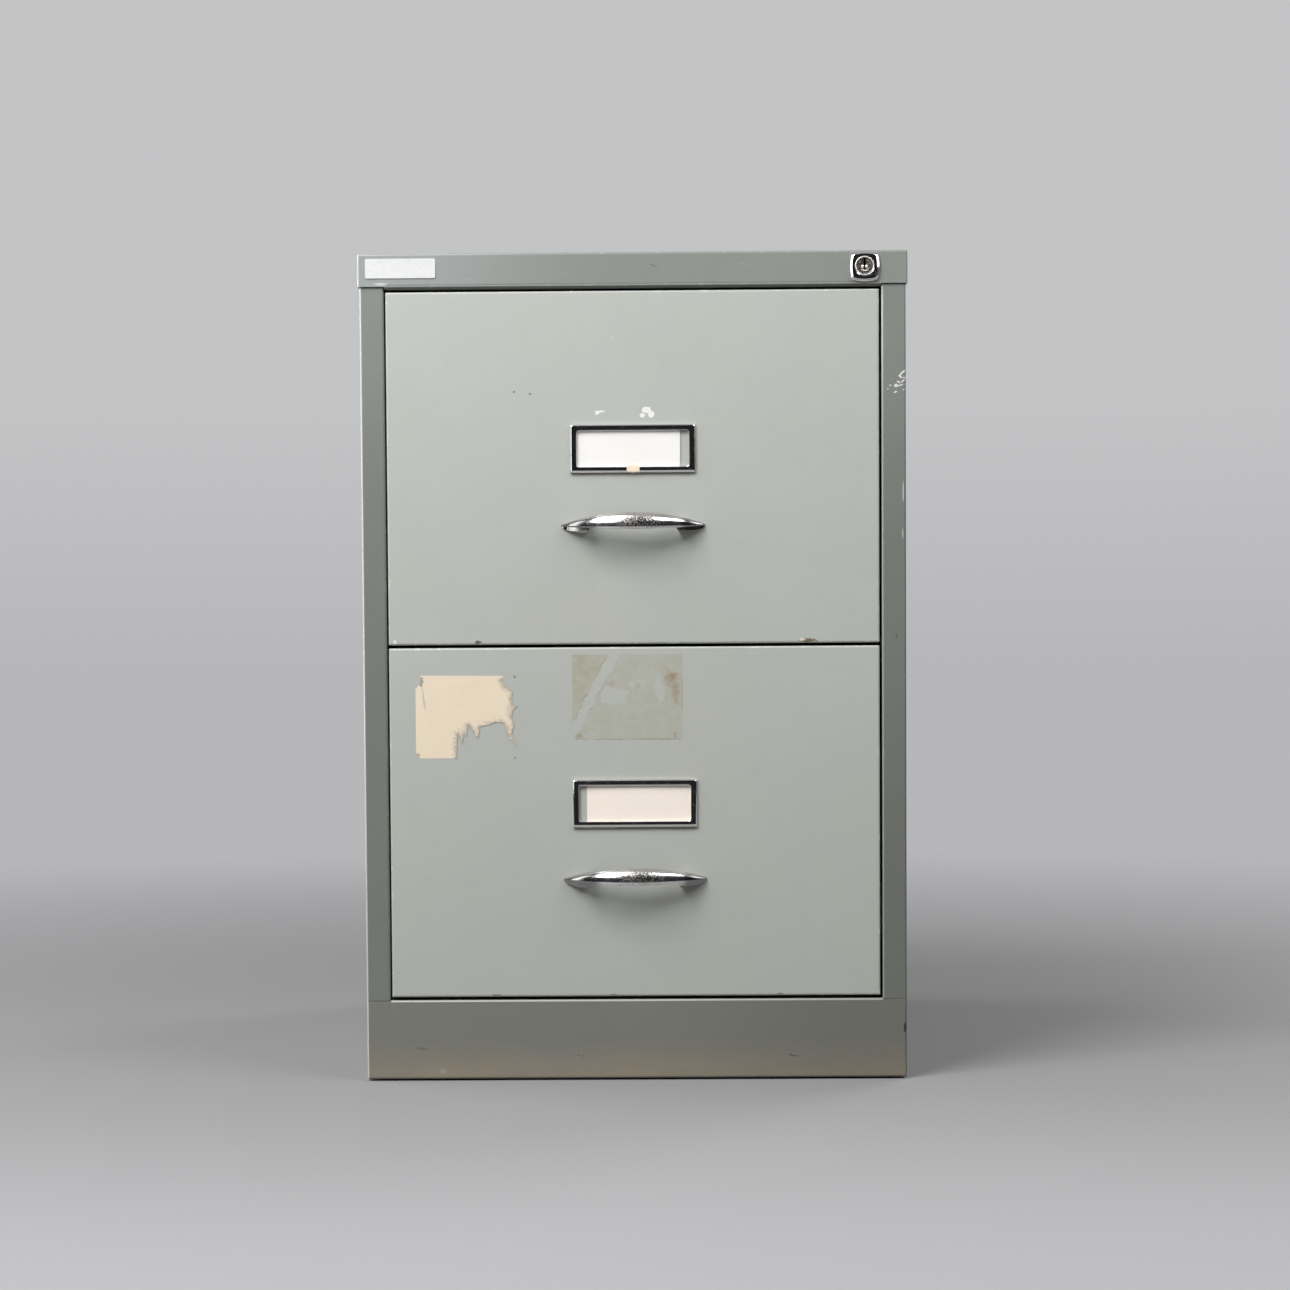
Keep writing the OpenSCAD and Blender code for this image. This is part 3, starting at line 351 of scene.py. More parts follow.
def upper_front_marks(f):
    """Torn white flecks over the label, rust at the foot, and small nicks and scratches."""
    foot = FOOT_Z["upper"] / MM
    torn = ((12.0, 199.9, 4.2, 2.9, 0), (8.4, 195.4, 2.7, 2.0, 0), (15.9, 196.3, 2.8, 3.2, 0),
            (-28.2, 198.8, 5.0, 0.9, 4), (-30.2, 197.2, 1.9, 1.2, 20))
    yield from strokes(f, FRONT_X["upper"] / MM, foot, (0.95, (0.80, 0.80, 0.77), torn, 600, 0.45))
    pale_scratch = (0.62, 0.64, 0.60)
    yield from strokes(
        f, 0, foot,
        (0.9, RUST, ((149.2, 2.2, 7.2, 1.6, 0),), 700, 0.9),
        (0.8, WHITE_MARK, ((144.0, 3.0, 3.0, 1.2, 0), (-206, 3, 1.6, 2.2, 0))),
        (0.9, (0.07, 0.06, 0.05), ((-134.4, 2.2, 3.0, 1.4, 0),), 900, 0.8),
        (0.85, (0.07, 0.065, 0.055), ((-101.7, 216, 1.3, 0.7, 35), (-88, 214.2, 1.4, 0.6, -30))),
        (0.4, pale_scratch, ((-184, 38, 2.4, 0.35, 50), (-178, 46, 3.0, 0.3, 65),
                             (-192, 24, 2.0, 0.3, 30), (84, 172, 2.6, 0.3, 30))),
        (0.35, pale_scratch, ((-176, 233, 1.0, 0.9, 0), (-18, 262, 1.4, 1.0, 0))))


def lower_front_marks(f):
    """The film left by a label that was peeled off, a brown stain and small nicks."""
    left, top, wide, high = -54.2, 368.3, 95.5, 73.8  # of the film, in millimetres
    wander = f.scaled(f.noise(110, 4, 0.65), 0.010, -0.005)
    across = f.minus(f.x, left * MM)
    down = f.minus(top * MM, f.z)
    inset_x = f.least(across, f.minus(wide * MM, across))
    inset_z = f.least(down, f.minus(high * MM, down))
    rough_inset = f.plus(f.least(inset_x, inset_z), f.scaled(f.noise(700, 2), 0.002, -0.001))
    on_face = f.band(f.y, FACE_Y + 0.6 * MM, FACE_Y + 0.3 * MM)
    inside = f.both(f.band(rough_inset, 0.0, 0.0005), on_face)
    # the peeled stripe runs from the top down to the left, and widens below
    slanted = f.plus(f.scaled(down, 0.52, across), -0.0365)
    stripe = f.plus(f.absolute(slanted), wander)
    kept = f.band(stripe, 0.0046, 0.0052)
    for x, z, half_w, half_h in ((36, 36, 11, 9), (75, 31, 5, 13), (56, 26, 13, 3.4)):
        hole = f.spot(left + x, top - z, half_w, half_h, 1.1, 150)
        kept = f.both(kept, f.outside(hole))
    film = f.both(inside, kept)
    thick = f.band(slanted, 0.0, -0.006)
    cloudy = f.band(f.noise(95, 5, 0.62), 0.34, 0.66, 0.45, 1.0)
    strength = f.both(cloudy, f.scaled(thick, 0.34, 0.48))
    yield 1.0, f.both(strength, film), (0.365, 0.345, 0.245)
    rim = f.both(film, f.outside(f.band(stripe, 0.0050, 0.0066)))
    yield 0.55, f.both(rim, f.band(f.noise(130, 3), 0.42, 0.62)), (0.22, 0.18, 0.115)
    foot_line = f.both(film, f.band(f.minus(high * MM, down), 1.2 * MM, 0.4 * MM))
    yield 0.8, f.both(foot_line, f.band(f.noise(40, 2), 0.40, 0.52)), (0.20, 0.165, 0.12)
    flecks = f.band(f.noise(420, 4, 0.7), 0.60, 0.68)
    yield 0.28, f.both(film, flecks), (0.20, 0.175, 0.13)
    stains = ((85, 21, 9, 10, 0.62), (87.5, 18.5, 3, 3.6, 0.7), (90, 33, 5, 17, 0.58),
              (82, 22, 2, 3, 0.45), (95, 34, 1.4, 20, 0.40), (6, 70, 6, 4, 0.50),
              (89, 70, 3.4, 4, 0.50), (35, 26, 5, 4, 0.35), (57, 27, 5, 4.4, 0.32))
    for x, z, half_w, half_h, weight in stains:
        mark = f.spot(left + x, top - z, half_w, half_h, 0.6, 260, 0, 0.95)
        yield weight, mark, (0.30, 0.21, 0.125)
    nicks = ((-103.2, 349.2, 1.2, 1.2, 0), (-103.4, 279.5, 0.9, 1.4, 20))
    yield from strokes(f, 0, 0, (0.6, (0.12, 0.12, 0.11), nicks))
    rust = ((-121, 1.6, 4, 0.9, 0), (-20, 1.5, 2.5, 0.8, 0), (124, 1.6, 3, 0.9, 0))
    yield from strokes(f, 0, FOOT_Z["lower"] / MM, (0.6, RUST, rust, 700, 0.9))


def cast_chrome(name, pitted=1.0, marks=None, haze=0.05):
    """Chrome plate with faint haze and pin-holes. A mark without a tone wears the plate through."""
    f = Finish(name)
    pits = f.band(f.cells(900)["Distance"], 0.17, 0.10)
    worn = f.both(pits, f.band(f.noise(90, 3), 0.50, 0.60))
    tarnished = []
    for strength, mark, tone in (marks(f) if marks else ()):
        patch = f.both(mark, strength)
        if tone:
            tarnished.append((patch, tone))
        else:
            worn = f.most(worn, patch)
    rough = f.band(f.noise(140, 5, 0.7), 0.35, 0.75, haze, haze + 0.08 * pitted)
    plate = f.mix(worn, (0.78, 0.77, 0.76), (0.20, 0.16, 0.12))
    for patch, tone in tarnished:
        plate = f.mix(patch, plate, tone)
    f.set(Base_Color=plate, Roughness=f.scaled(worn, 0.3, rough), Metallic=1.0)
    f.bump(f.noise(420, 3, 0.6), 0.012 * MM * pitted)
    f.bump(f.outside(worn), 0.03 * MM)
    return f.material


def pull_marks(f):
    """Pitting on the crown of the pull, where hands have worn it, and painted shade on the tips and under
    the lip.
    """
    middle = f.band(f.absolute(f.plus(f.x, -0.006)), 0.028, 0.010)
    fine = f.noise(520, 5, 0.72, f.stretch((1.6, 1, 1)))
    yield 0.75, f.both(middle, f.band(fine, 0.50, 0.60)), None
    yield 0.5, f.both(f.band(f.noise(60, 2), 0.5, 0.7), f.band(fine, 0.58, 0.64)), None
    # painted shade: darker tips, so they reflect less
    left_tip = f.band(f.x, -0.027, -0.036)
    right_tip = f.band(f.x, 0.038, 0.046)
    yield 0.85, f.plus(left_tip, right_tip), (0.22, 0.22, 0.215)
    for level in DRAWERS:
        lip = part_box(f"handle_{level}")[1].z - 14.7 * MM
        # painted shade under the lip, laid on as worn metal
        shade_under_lip = f.band(f.z, lip, lip - 1.2 * MM)
        this_pull = f.band(f.z, lip - 20 * MM, lip - 18 * MM)
        yield 0.7, f.both(shade_under_lip, this_pull), None


def label_marks(f):
    """Worn specks on the face, and a painted shadow line along the lower rim."""
    yield 0.6, f.band(f.noise(330, 5, 0.75), 0.58, 0.66), None
    for level in DRAWERS:
        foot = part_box(f"label_holder_{level}")[0].z
        # painted shadow along the lower rim, laid on as worn metal
        rim = f.band(f.z, foot + 0.6 * MM, foot + 0.4 * MM)
        this_frame = f.band(f.z, foot - 1.0 * MM, foot - 0.5 * MM)
        yield 1.0, f.both(rim, this_frame), None


def zinc_plate(name, colour=(0.55, 0.56, 0.56), rough=0.32, along=(1, 0.02, 1)):
    """Bright zinc on rolled steel, with the rolling marks along Y and cloudy passivation."""
    f = Finish(name)
    streaks = f.noise(700, 3, 0.6, f.stretch(along))
    cloud = f.noise(28, 5, 0.65)
    red, green, blue = colour
    tone = f.mix(f.band(cloud, 0.3, 0.7), colour, (red * 0.82, green * 0.81, blue * 0.78))
    tone = f.mix(f.band(streaks, 0.4, 0.7, 0, 0.3), tone, times(colour, 0.7))
    f.set(Base_Color=tone, Metallic=0.95,
          Roughness=f.scaled(streaks, 0.16, rough - 0.05))
    f.bump(streaks, 0.015 * MM)
    return f.material


def galvanised(name):
    """Hot-dip zinc with its spangle."""
    f = Finish(name)
    shade = f.add("ShaderNodeSeparateColor", {0: f.cells(95)["Color"]}).outputs
    tone = f.mix(shade[0], (0.44, 0.45, 0.46), (0.60, 0.61, 0.61))
    f.set(Base_Color=tone, Metallic=0.85, Roughness=f.scaled(shade[1], 0.14, 0.33))
    f.bump(f.noise(300, 3), 0.01 * MM)
    return f.material


def nickel(name):
    """Worn nickel over brass, warm where it is rubbed, and the keyway painted near-black as shade on the
    plug's face.
    """
    f = Finish(name)
    worn = f.band(f.noise(500, 4, 0.6), 0.42, 0.62)
    x0, z0 = middle_of("lock_plug")
    beside = f.absolute(f.minus(f.x, x0))
    up = f.minus(f.z, z0)
    # painted shade: the keyway is a near-black slot shape on the flat plug face
    slot = f.both(f.band(beside, 1.05 * MM, 0.85 * MM), f.band(up, -1.8 * MM, -1.4 * MM))
    plate = f.mix(worn, (0.56, 0.54, 0.51), (0.48, 0.38, 0.27))
    f.set(Base_Color=f.mix(slot, plate, (0.006, 0.006, 0.006)), Metallic=1.0,
          Roughness=f.band(f.noise(900, 3), 0.3, 0.7, 0.2, 0.42))
    f.bump(f.noise(1800, 2), 0.02 * MM)
    return f.material


def satin_plate(name):
    """Brushed nickel plate that spreads the light."""
    f = Finish(name)
    f.set(Base_Color=f.mix(f.noise(800, 3), (0.88, 0.87, 0.85), (0.70, 0.69, 0.66)), Metallic=1.0,
          Roughness=f.band(f.noise(600, 3), 0.3, 0.7, 0.42, 0.55))
    f.bump(f.noise(1500, 2), 0.01 * MM)
    return f.material


def moulded(name, colour, rough):
    """Rubber or nylon with a fine moulded grain."""
    f = Finish(name)
    tone = f.mix(f.band(f.noise(60, 4), 0.35, 0.7), colour, times(colour, 0.8))
    f.set(Base_Color=tone, Roughness=f.band(f.noise(400, 3), 0.3, 0.7, rough - 0.08, rough + 0.08))
    f.bump(f.noise(1200, 2), 0.03 * MM)
    return f.material


def glossy_white(name):
    """Enamelled plate, a little yellowed, with fine rub marks."""
    f = Finish(name)
    tone = f.mix(f.band(f.noise(70, 5, 0.6), 0.42, 0.75, 0, 0.5), (0.68, 0.69, 0.68), (0.60, 0.60, 0.57))
    f.set(Base_Color=tone, Roughness=f.band(f.noise(200, 4), 0.3, 0.7, 0.22, 0.36))
    f.bump(f.noise(900, 2), 0.012 * MM)
    return f.material


def paper(name, colour, stain, amount=0.5, marks=None):
    """Uncoated paper or card with its fibre and a soft stain."""
    f = Finish(name)
    fibre = f.noise(1500, 4, 0.7, f.stretch((1, 1, 1.8)))
    tone = f.mix(f.band(f.noise(45, 5, 0.6), 0.45, 0.75, 0, amount), colour, stain)
    tone = f.mix(f.band(fibre, 0.55, 0.8, 0, 0.25), tone, times(colour, 0.86))
    for strength, mark, shade in (marks(f) if marks else ()):
        tone = f.mix(f.both(mark, strength), tone, shade)
    f.set(Base_Color=tone, Roughness=0.85)
    f.bump(fibre, 0.03 * MM)
    return f.material


# ---- Mesh building ----

def mesh_piece(name, shape, material, body, smooth_angle=35):
    """A closed mesh of (verts, faces) with outward normals, riding on a body."""
    verts, faces = shape
    data = bpy.data.meshes.new(name)
    data.from_pydata([tuple(v) for v in verts], [], faces)
    data.materials.append(material)
    return settle(put(name, data), body, smooth_angle)


def settle(piece, body, smooth_angle):
    """Merges doubles, turns every face outwards, shades by angle, and gives the body."""
    shape = bmesh.new()
    shape.from_mesh(piece.data)
    bmesh.ops.remove_doubles(shape, verts=shape.verts, dist=1e-7)
    bmesh.ops.dissolve_degenerate(shape, edges=shape.edges, dist=1e-7)
    bmesh.ops.recalc_face_normals(shape, faces=shape.faces)
    shape.to_mesh(piece.data)
    shape.free()
    piece.data.shade_smooth()
    piece.data.set_sharp_from_angle(angle=math.radians(smooth_angle))
    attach(piece, body)
    return piece


def skin(loops, closed=True):
    """Vertices and faces of a surface through equal closed loops, capped at both ends."""
    count = len(loops[0])
    verts = [point for loop in loops for point in loop]
    faces = []
    for i in range(len(loops) - 1):
        for j in range(count):
            k = (j + 1) % count
            faces.append((i * count + j, i * count + k, (i + 1) * count + k, (i + 1) * count + j))
    if closed:
        faces.append(tuple(range(count)))
        faces.append(tuple(range((len(loops) - 1) * count, len(loops) * count)))
    return verts, faces


def join_up(parts):
    """Several (verts, faces) as one."""
    verts, faces = [], []
    for part_verts, part_faces in parts:
        start = len(verts)
        verts += part_verts
        faces += [tuple(start + i for i in face) for face in part_faces]
    return verts, faces


def rounded_rectangle(half_w, half_h, radius, steps=6):
    """Points round a rectangle with round corners, from its right side on."""
    points = []
    for quarter, (sx, sz) in enumerate(((1, 1), (-1, 1), (-1, -1), (1, -1))):
        for step in range(steps + 1):
            angle = math.pi / 2 * (quarter + step / steps)
            points.append((sx * (half_w - radius) + radius * math.cos(angle),
                           sz * (half_h - radius) + radius * math.sin(angle)))
    return points


def circle(x, y, z, radius, sides, tall=1.0):
    """Points round an upright circle, or an ellipse, from its right side on."""
    return [(x + radius * math.cos(angle), y, z + radius * tall * math.sin(angle))
            for angle in np.linspace(0, 2 * math.pi, sides, endpoint=False)]


def bulged_square(half, bulge_radius, corner, sides):
    """A square whose sides bulge outwards, with round corners, in that many points."""
    points = []
    reach = half - bulge_radius
    for dx, _, dz in circle(0, 0, 0, 1.0, sides):
        # the smooth minimum of the four bulging sides rounds the corners off
        bulges = []
        for ax, az in ((1, 0), (0, 1), (-1, 0), (0, -1)):
            along = (dx * ax + dz * az) * reach
            bulges.append(along + math.sqrt(along ** 2 - reach ** 2 + bulge_radius ** 2))
        least = min(bulges)
        total = sum(math.exp((least - bulge) / corner) for bulge in bulges)
        radius = least - corner * math.log(total)
        points.append((radius * dx, radius * dz))
    return points


# ---- Handles ----

def sagitta(radius, along):
    """How far an arc of that radius has fallen away at a distance along its chord."""
    return radius - math.sqrt(radius ** 2 - along ** 2)


PULL_REACH, PULL_SWEEP = 27.0, 87.87  # millimetres out at the middle, and the radius of that sweep
PULL_RISE, PULL_ARCH = 10.2, 206.9  # millimetres up at the middle, and the radius of that arch
PULL_HALF = 62.0
TIP_START, TIP_LENGTH = 59.5, 2.52


def handle_section(x):
    """Cross-section of the pull x millimetres from its middle: (outwards, up) pairs in metres."""
    reach = PULL_REACH - sagitta(PULL_SWEEP, x)
    rise = PULL_RISE - sagitta(PULL_ARCH, x)
    slim = min(1.0, rise / PULL_RISE)
    thick = 1.2 + 5.8 * slim
    ridge, lip = -2.2 * slim, -4.2 * slim - 0.4 * (1 - slim)
    foot = smooth(x, 36.0, 40.5)
    back = (1 - foot) * (reach - thick)
    shoulder = max(reach - thick, 0.25 * reach)
    sole = -0.8 - 9.0 * math.sqrt(max(0.0, 1 - (x / PULL_HALF) ** 2))
    toe = foot * max(0.5 * reach, reach - 3.2) + (1 - foot) * (reach - 0.55 * thick)
    under = lip + foot * min(0.0, sole - lip)
    points = [(back, rise - 0.3 * (1 - foot))]
    arc_steps = 14
    for step in range(arc_steps + 1):
        angle = math.radians(86) * step / arc_steps
        points.append((shoulder + (reach - shoulder) * math.sin(angle),
                       ridge + (rise - ridge) * math.cos(angle) ** 0.85))
    points += [(reach, ridge), (reach - 0.8 * slim, lip),
               (reach - 1.6 * slim - 0.1, lip - 0.15 * slim),
               (toe + 0.15 * foot, lip - 0.2 * slim),
               (toe + 0.05 * foot, under + 0.12 * (lip - under)),
               (toe - 0.5 * foot, under), (back, under)]
    blunt = math.sqrt(max(0.0, 1 - (max(0.0, x - TIP_START) / TIP_LENGTH) ** 2))
    return [(out * blunt * MM, up * blunt * MM) for out, up in points]


def smooth(value, start, end):
    """0 at start, 1 at end, and a smooth rise between."""
    share = min(1.0, max(0.0, (value - start) / (end - start)))
    return share * share * (3 - 2 * share)


def make_handle(level, material):
    """Cast pull that sweeps from tip to tip, on two feet."""
    node = f"handle_{level}"
    lo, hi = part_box(node)
    half = (hi.x - lo.x) / 2
    tips_z = hi.z - 10.3 * MM
    stations = 161
    loops = []
    for i in range(stations):
        t = math.sin(math.pi / 2 * (2 * i / (stations - 1) - 1))
        loops.append([(FRONT_X[level] + t * half * 0.9995, FACE_Y - out, tips_z + up)
                      for out, up in handle_section(abs(t) * half / MM)])
    piece = mesh_piece(f"pull_{level}", skin(loops), material, f"{level}_drawer", 28)
    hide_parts(node)


# ---- Label holders and their cards ----

def make_label_holder(level, material):
    """Pressed frame: outer skirt, narrow bevel, flat face and a rolled edge round the window."""
    node = f"label_holder_{level}"
    lo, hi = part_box(node)
    middle_z, deep = middle_of(f"label_card_{level}")[1], FACE_Y - lo.y
    half_w, half_h = (hi.x - lo.x) / 2, middle_z - lo.z
    # (inset from the outside, height above the drawer front, corner radius)
    profile = [(0.0, 0.0, 1.0), (0.0, 1.9, 1.0), (0.05, 2.2, 1.0), (0.15, 2.36, 0.9), (0.85, 2.95, 0.9),
               (1.05, 3.1, 0.9), (1.2, 3.18, 0.9), (1.35, 3.2, 1.0), (4.8, 3.2, 2.55), (5.0, 3.16, 2.6),
               (5.18, 3.02, 2.6), (5.28, 2.8, 2.6), (5.3, 2.5, 2.6), (5.3, 0.72, 2.6)]
    loops = []
    for inset, height, radius in profile:
        ring = rounded_rectangle(half_w - inset * MM, half_h - inset * MM, radius * MM)
        if 0.0 < inset < 2.0:
            # the lower rim is rolled wider than the others
            ring = [(x, z + inset * MM * 0.9) if z < 0 else (x, z) for x, z in ring]
        loops.append([(FRONT_X[level] + x, FACE_Y - min(height * MM, deep), middle_z + z) for x, z in ring])
    # the back of the face, then down inside the skirt to the drawer front
    for inset, height in ((3.2, 0.72), (0.4, 0.0)):
        ring = rounded_rectangle(half_w - inset * MM, half_h - inset * MM, 1.0 * MM)
        loops.append([(FRONT_X[level] + x, FACE_Y - height * MM, middle_z + z) for x, z in ring])
    loops.append(loops[0])
    piece = mesh_piece(f"label_frame_{level}", skin(loops, closed=False), material,
                       f"{level}_drawer", 40)
    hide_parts(node)


def card_edge(f):
    """Brown line down the right edge of the upper card, where it stands in the holder."""
    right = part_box("label_card_upper")[1].x
    yield 0.75, f.band(f.x, right - 1.1 * MM, right - 0.6 * MM), (0.20, 0.14, 0.09)


def make_card(level, material):
    """Bare card with a slight bow from side to side; the upper one has a nicked corner."""
    node = f"label_card_{level}"
    lo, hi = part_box(node)
    columns, rows = 46, 18
    bow, thick = 0.35 * MM, 0.25 * MM
    base_y = hi.y - 0.05 * MM
    top, bottom = [], []
    for r in range(rows + 1):
        for c in range(columns + 1):
            u, v = c / columns, r / rows
            x = lo.x + u * (hi.x - lo.x)
            if level == "upper":
                x -= 1.0 * MM * u ** 20 * smooth(0.23 - v, 0, 0.04)
            z = lo.z + v * (hi.z - lo.z)
            lift = bow * math.sin(math.pi * u) * (0.4 + 0.6 * v)
            top.append((x, base_y - thick - lift, z))
            bottom.append((x, base_y - lift, z))
    count = len(top)
    grid = np.arange(count).reshape(rows + 1, columns + 1)
    faces = []
    for a in grid[:-1, :-1].ravel().tolist():
        quad = (a, a + 1, a + columns + 2, a + columns + 1)
        faces += [quad, tuple(count + i for i in reversed(quad))]
    rim = np.concatenate((grid[0], grid[1:, -1], grid[-1, -2::-1], grid[-2:0:-1, 0])).tolist()
    for a, b in zip(rim, rim[1:] + rim[:1]):
        faces.append((a, count + a, count + b, b))
    piece = mesh_piece(f"card_{level}", (top + bottom, faces), material, f"{level}_drawer")
    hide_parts(node)


# ---- Sticker, tape, name plate and lip ----

def flat_patch(outline, thick, lift):
    """A thin closed sheet on the drawer fronts, cut on a grid so that its edge can curl."""
    cell = 1.5 * MM
    shape = bmesh.new()
    shape.faces.new([shape.verts.new((x, FACE_Y, z)) for x, z in outline])
    xs, zs = [x for x, _ in outline], [z for _, z in outline]
    for start, end, normal in ((min(xs), max(xs), (1, 0, 0)), (min(zs), max(zs), (0, 0, 1))):
        for place in np.arange(start + cell, end, cell):
            cut = tuple(place * n for n in normal)
            everything = shape.verts[:] + shape.edges[:] + shape.faces[:]
            bmesh.ops.bisect_plane(shape, geom=everything, plane_co=cut, plane_no=normal)
    bmesh.ops.triangulate(shape, faces=shape.faces[:], ngon_method="EAR_CLIP")
    shape.verts.index_update()
    flat = [v.co.copy() for v in shape.verts]
    faces = [tuple(v.index for v in f.verts) for f in shape.faces]
    border = [tuple(v.index for v in e.verts) for e in shape.edges if e.is_boundary]
    shape.free()
    lifted = [(v.x, FACE_Y - lift(v.x, v.z), v.z) for v in flat]
    back = [(x, y - 0.02 * MM, z) for x, y, z in lifted]
    front = [(x, y - thick, z) for x, y, z in lifted]
    count = len(flat)
    walls = [(a, b, count + b, count + a) for a, b in border]
    return front + back, faces + [tuple(count + i for i in reversed(f)) for f in faces] + walls


def distance_to_path(point, path):
    """Shortest distance from an (x, z) point to a run of straight pieces."""
    best = 1.0
    for (ax, az), (bx, bz) in zip(path, path[1:]):
        along_x, along_z = bx - ax, bz - az
        length = along_x ** 2 + along_z ** 2
        share = ((point[0] - ax) * along_x + (point[1] - az) * along_z) / length
        share = min(1.0, max(0.0, share))
        best = min(best, math.hypot(point[0] - ax - share * along_x, point[1] - az - share * along_z))
    return best


STICKER_CORNER = (-188.7, 350.8)  # x and z in millimetres
# torn outline, in millimetres right of and below the corner
STICKER_OUTLINE = (
    (4.6, 0), (75.7, 0.7), (74, 4.1), (77.7, 9.6), (80.2, 11.2), (83.9, 14.4), (82.6, 19), (83.2, 25.3),
    (87.6, 26.7), (84.8, 29.5), (82.5, 34.2), (84.9, 42.4), (82.5, 50.6), (84.4, 56), (86.6, 61.5),
    (79.8, 54), (77.4, 46.5), (75.7, 41), (68.8, 40.3), (63.5, 42.6), (59.3, 43.4), (55.2, 44.4),
    (54.6, 49.6), (53.1, 54.7), (49.9, 49.6), (47.6, 45.8), (44.9, 42.4), (43.5, 53.3), (41.5, 49.9),
    (40.1, 58.8), (37.6, 53.6), (36, 49.9), (35, 71.4), (3.9, 71.4), (0, 67.3), (0, 11.6), (4, 7))


def torn_paper(name):
    """Sticker paper whose face is scuffed, and fibrous and grey along the torn edge."""
    def marks(f):
        grey, buff = (0.38, 0.36, 0.31), (0.55, 0.47, 0.36)
        near = f.add("ShaderNodeAttribute", attribute_name="torn").outputs["Fac"]
        ragged = f.plus(near, f.scaled(f.noise(420, 4, 0.7), 0.010, -0.005))
        yield 0.8, f.band(ragged, 0.0050, 0.0010), buff
        yield 0.8, f.band(ragged, 0.0022, 0.0002), grey
        x0, z0 = STICKER_CORNER
        dark, brown = (0.24, 0.24, 0.22), (0.16, 0.11, 0.06)
        # (right of the corner, below it, half width, half height, ragged, grain, turn, soft)
        for strength, tone, mark in ((0.8, dark, (4.2, 4.8, 3.0, 4.5, 0.9, 500, 0, 0.15)),
                                     (0.4, dark, (7.0, 20.0, 1.2, 15.0, 0.9, 400, -0.12, 0.6)),
                                     (0.35, grey, (76.0, 8.0, 4.0, 6.0, 0.7, 400, 0, 0.6)),
                                     (0.35, grey, (81.0, 31.0, 4.0, 8.0, 0.7, 400, 0, 0.6)),
                                     (0.5, brown, (1.5, 68.5, 2.2, 1.6, 0.5, 500, 0, 0.15))):
            right, below, *rest = mark
            yield strength, f.spot(x0 + right, z0 - below, *rest), tone
    return paper(name, (0.76, 0.65, 0.50), (0.70, 0.59, 0.45), 0.5, marks)


def make_sticker(material):
    """What is left of a torn paper sticker, with its torn edge lifted a little."""
    x0, z0 = STICKER_CORNER
    outline = [((x0 + x) * MM, (z0 - z) * MM) for x, z in STICKER_OUTLINE]
    torn_edge = outline[2:33]  # all but the straight left side and the corners beside it

    def curl(x, z):
        return 0.3 * MM * smooth(distance_to_path((x, z), torn_edge), 3.5 * MM, 0.0)

    sheet = flat_patch(outline, 0.12 * MM, curl)
    piece = mesh_piece("torn_sticker", sheet, material, "lower_drawer", 60)
    torn = piece.data.attributes.new("torn", "FLOAT", "POINT")
    for vertex, value in zip(piece.data.vertices, torn.data):
        value.value = distance_to_path((vertex.co.x, vertex.co.z), torn_edge)


def make_tape(material):
    """Scrap of masking tape folded over the lower border of the upper label holder."""
    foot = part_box("label_holder_upper")[0].z
    left, width = FRONT_X["upper"] - 5.2 * MM, 11.0 * MM
    path = [(3.32, 6.3), (3.34, 5.0), (3.42, 3.6), (3.40, 2.0), (3.36, 1.2), (3.1, 0.6), (2.7, 0.25)]
    loops = []
    for i in range(9):
        u = i / 8
        side = 0.25 * MM * math.sin(9 * u)
        outer = [(left + u * width, FACE_Y - out * MM - 0.05 * MM * math.sin(5 * u + 3),
                  foot + up * MM + side) for out, up in path]
        inner = [(x, y + 0.14 * MM, z) for x, y, z in reversed(outer)]
        loops.append(outer + inner)
    mesh_piece("masking_tape", skin(loops), material, "upper_drawer", 50)


def make_name_plate(material):
    """Thin bare plate with round corners and a soft edge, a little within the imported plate."""
    lo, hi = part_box("badge_plate")
    x0, z0 = np.add(middle_of("badge_plate"), (0.5 * MM, -1.1 * MM))
    half_w, half_h = (hi.x - lo.x) / 2 - 0.6 * MM, (hi.z - lo.z) / 2 - 0.5 * MM
    high = CAP_Y - lo.y
    loops = []
    for inset, height in ((0.0, 0.0), (0.0, 0.5), (0.08, 0.8), (0.25, 1.0), (0.6, 1.0)):
        ring = rounded_rectangle(half_w - inset * MM, half_h - inset * MM, 1.7 * MM - inset * MM)
        loops.append([(x0 + x, CAP_Y - height * high, z0 + z) for x, z in ring])
    piece = mesh_piece("name_plate", skin(loops), material, "cabinet", 40)
    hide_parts("badge_plate")


def make_rolled_lip(material):
    """The cap's front rim rolls back and under between the stiles."""
    radius, thick = 3.7 * MM, 0.8 * MM
    top = CAP_FOOT_Z + thick
    centre_y = CAP_Y - 0.03 * MM + radius
    bend = np.linspace(math.pi, 1.5 * math.pi, 12)
    outline = [(centre_y + reach * math.cos(a), top + reach * math.sin(a))
               for reach, angles in ((radius, bend), (radius - thick, bend[::-1])) for a in angles]
    ends = [[(x, y, z) for y, z in outline] for x in (-STILE_INNER_X, STILE_INNER_X)]
    mesh_piece("rolled_lip", skin(ends), material, "cabinet", 40)


def lip_light_and_shade(f):
    """A painted highlight along the bend, and painted shade underneath."""
    # painted highlight along the bend, then painted shade under it
    yield 0.5, f.band(f.z, CAP_FOOT_Z - 0.4 * MM, CAP_FOOT_Z + 0.4 * MM), (0.42, 0.44, 0.41)
    yield 0.85, f.band(f.z, CAP_FOOT_Z - 0.1 * MM, CAP_FOOT_Z - 0.7 * MM), (0.060, 0.060, 0.052)
    yield 0.9, f.band(f.z, CAP_FOOT_Z - 1.8 * MM, CAP_FOOT_Z - 2.7 * MM), (0.012, 0.012, 0.011)


# ---- Spot welds ----

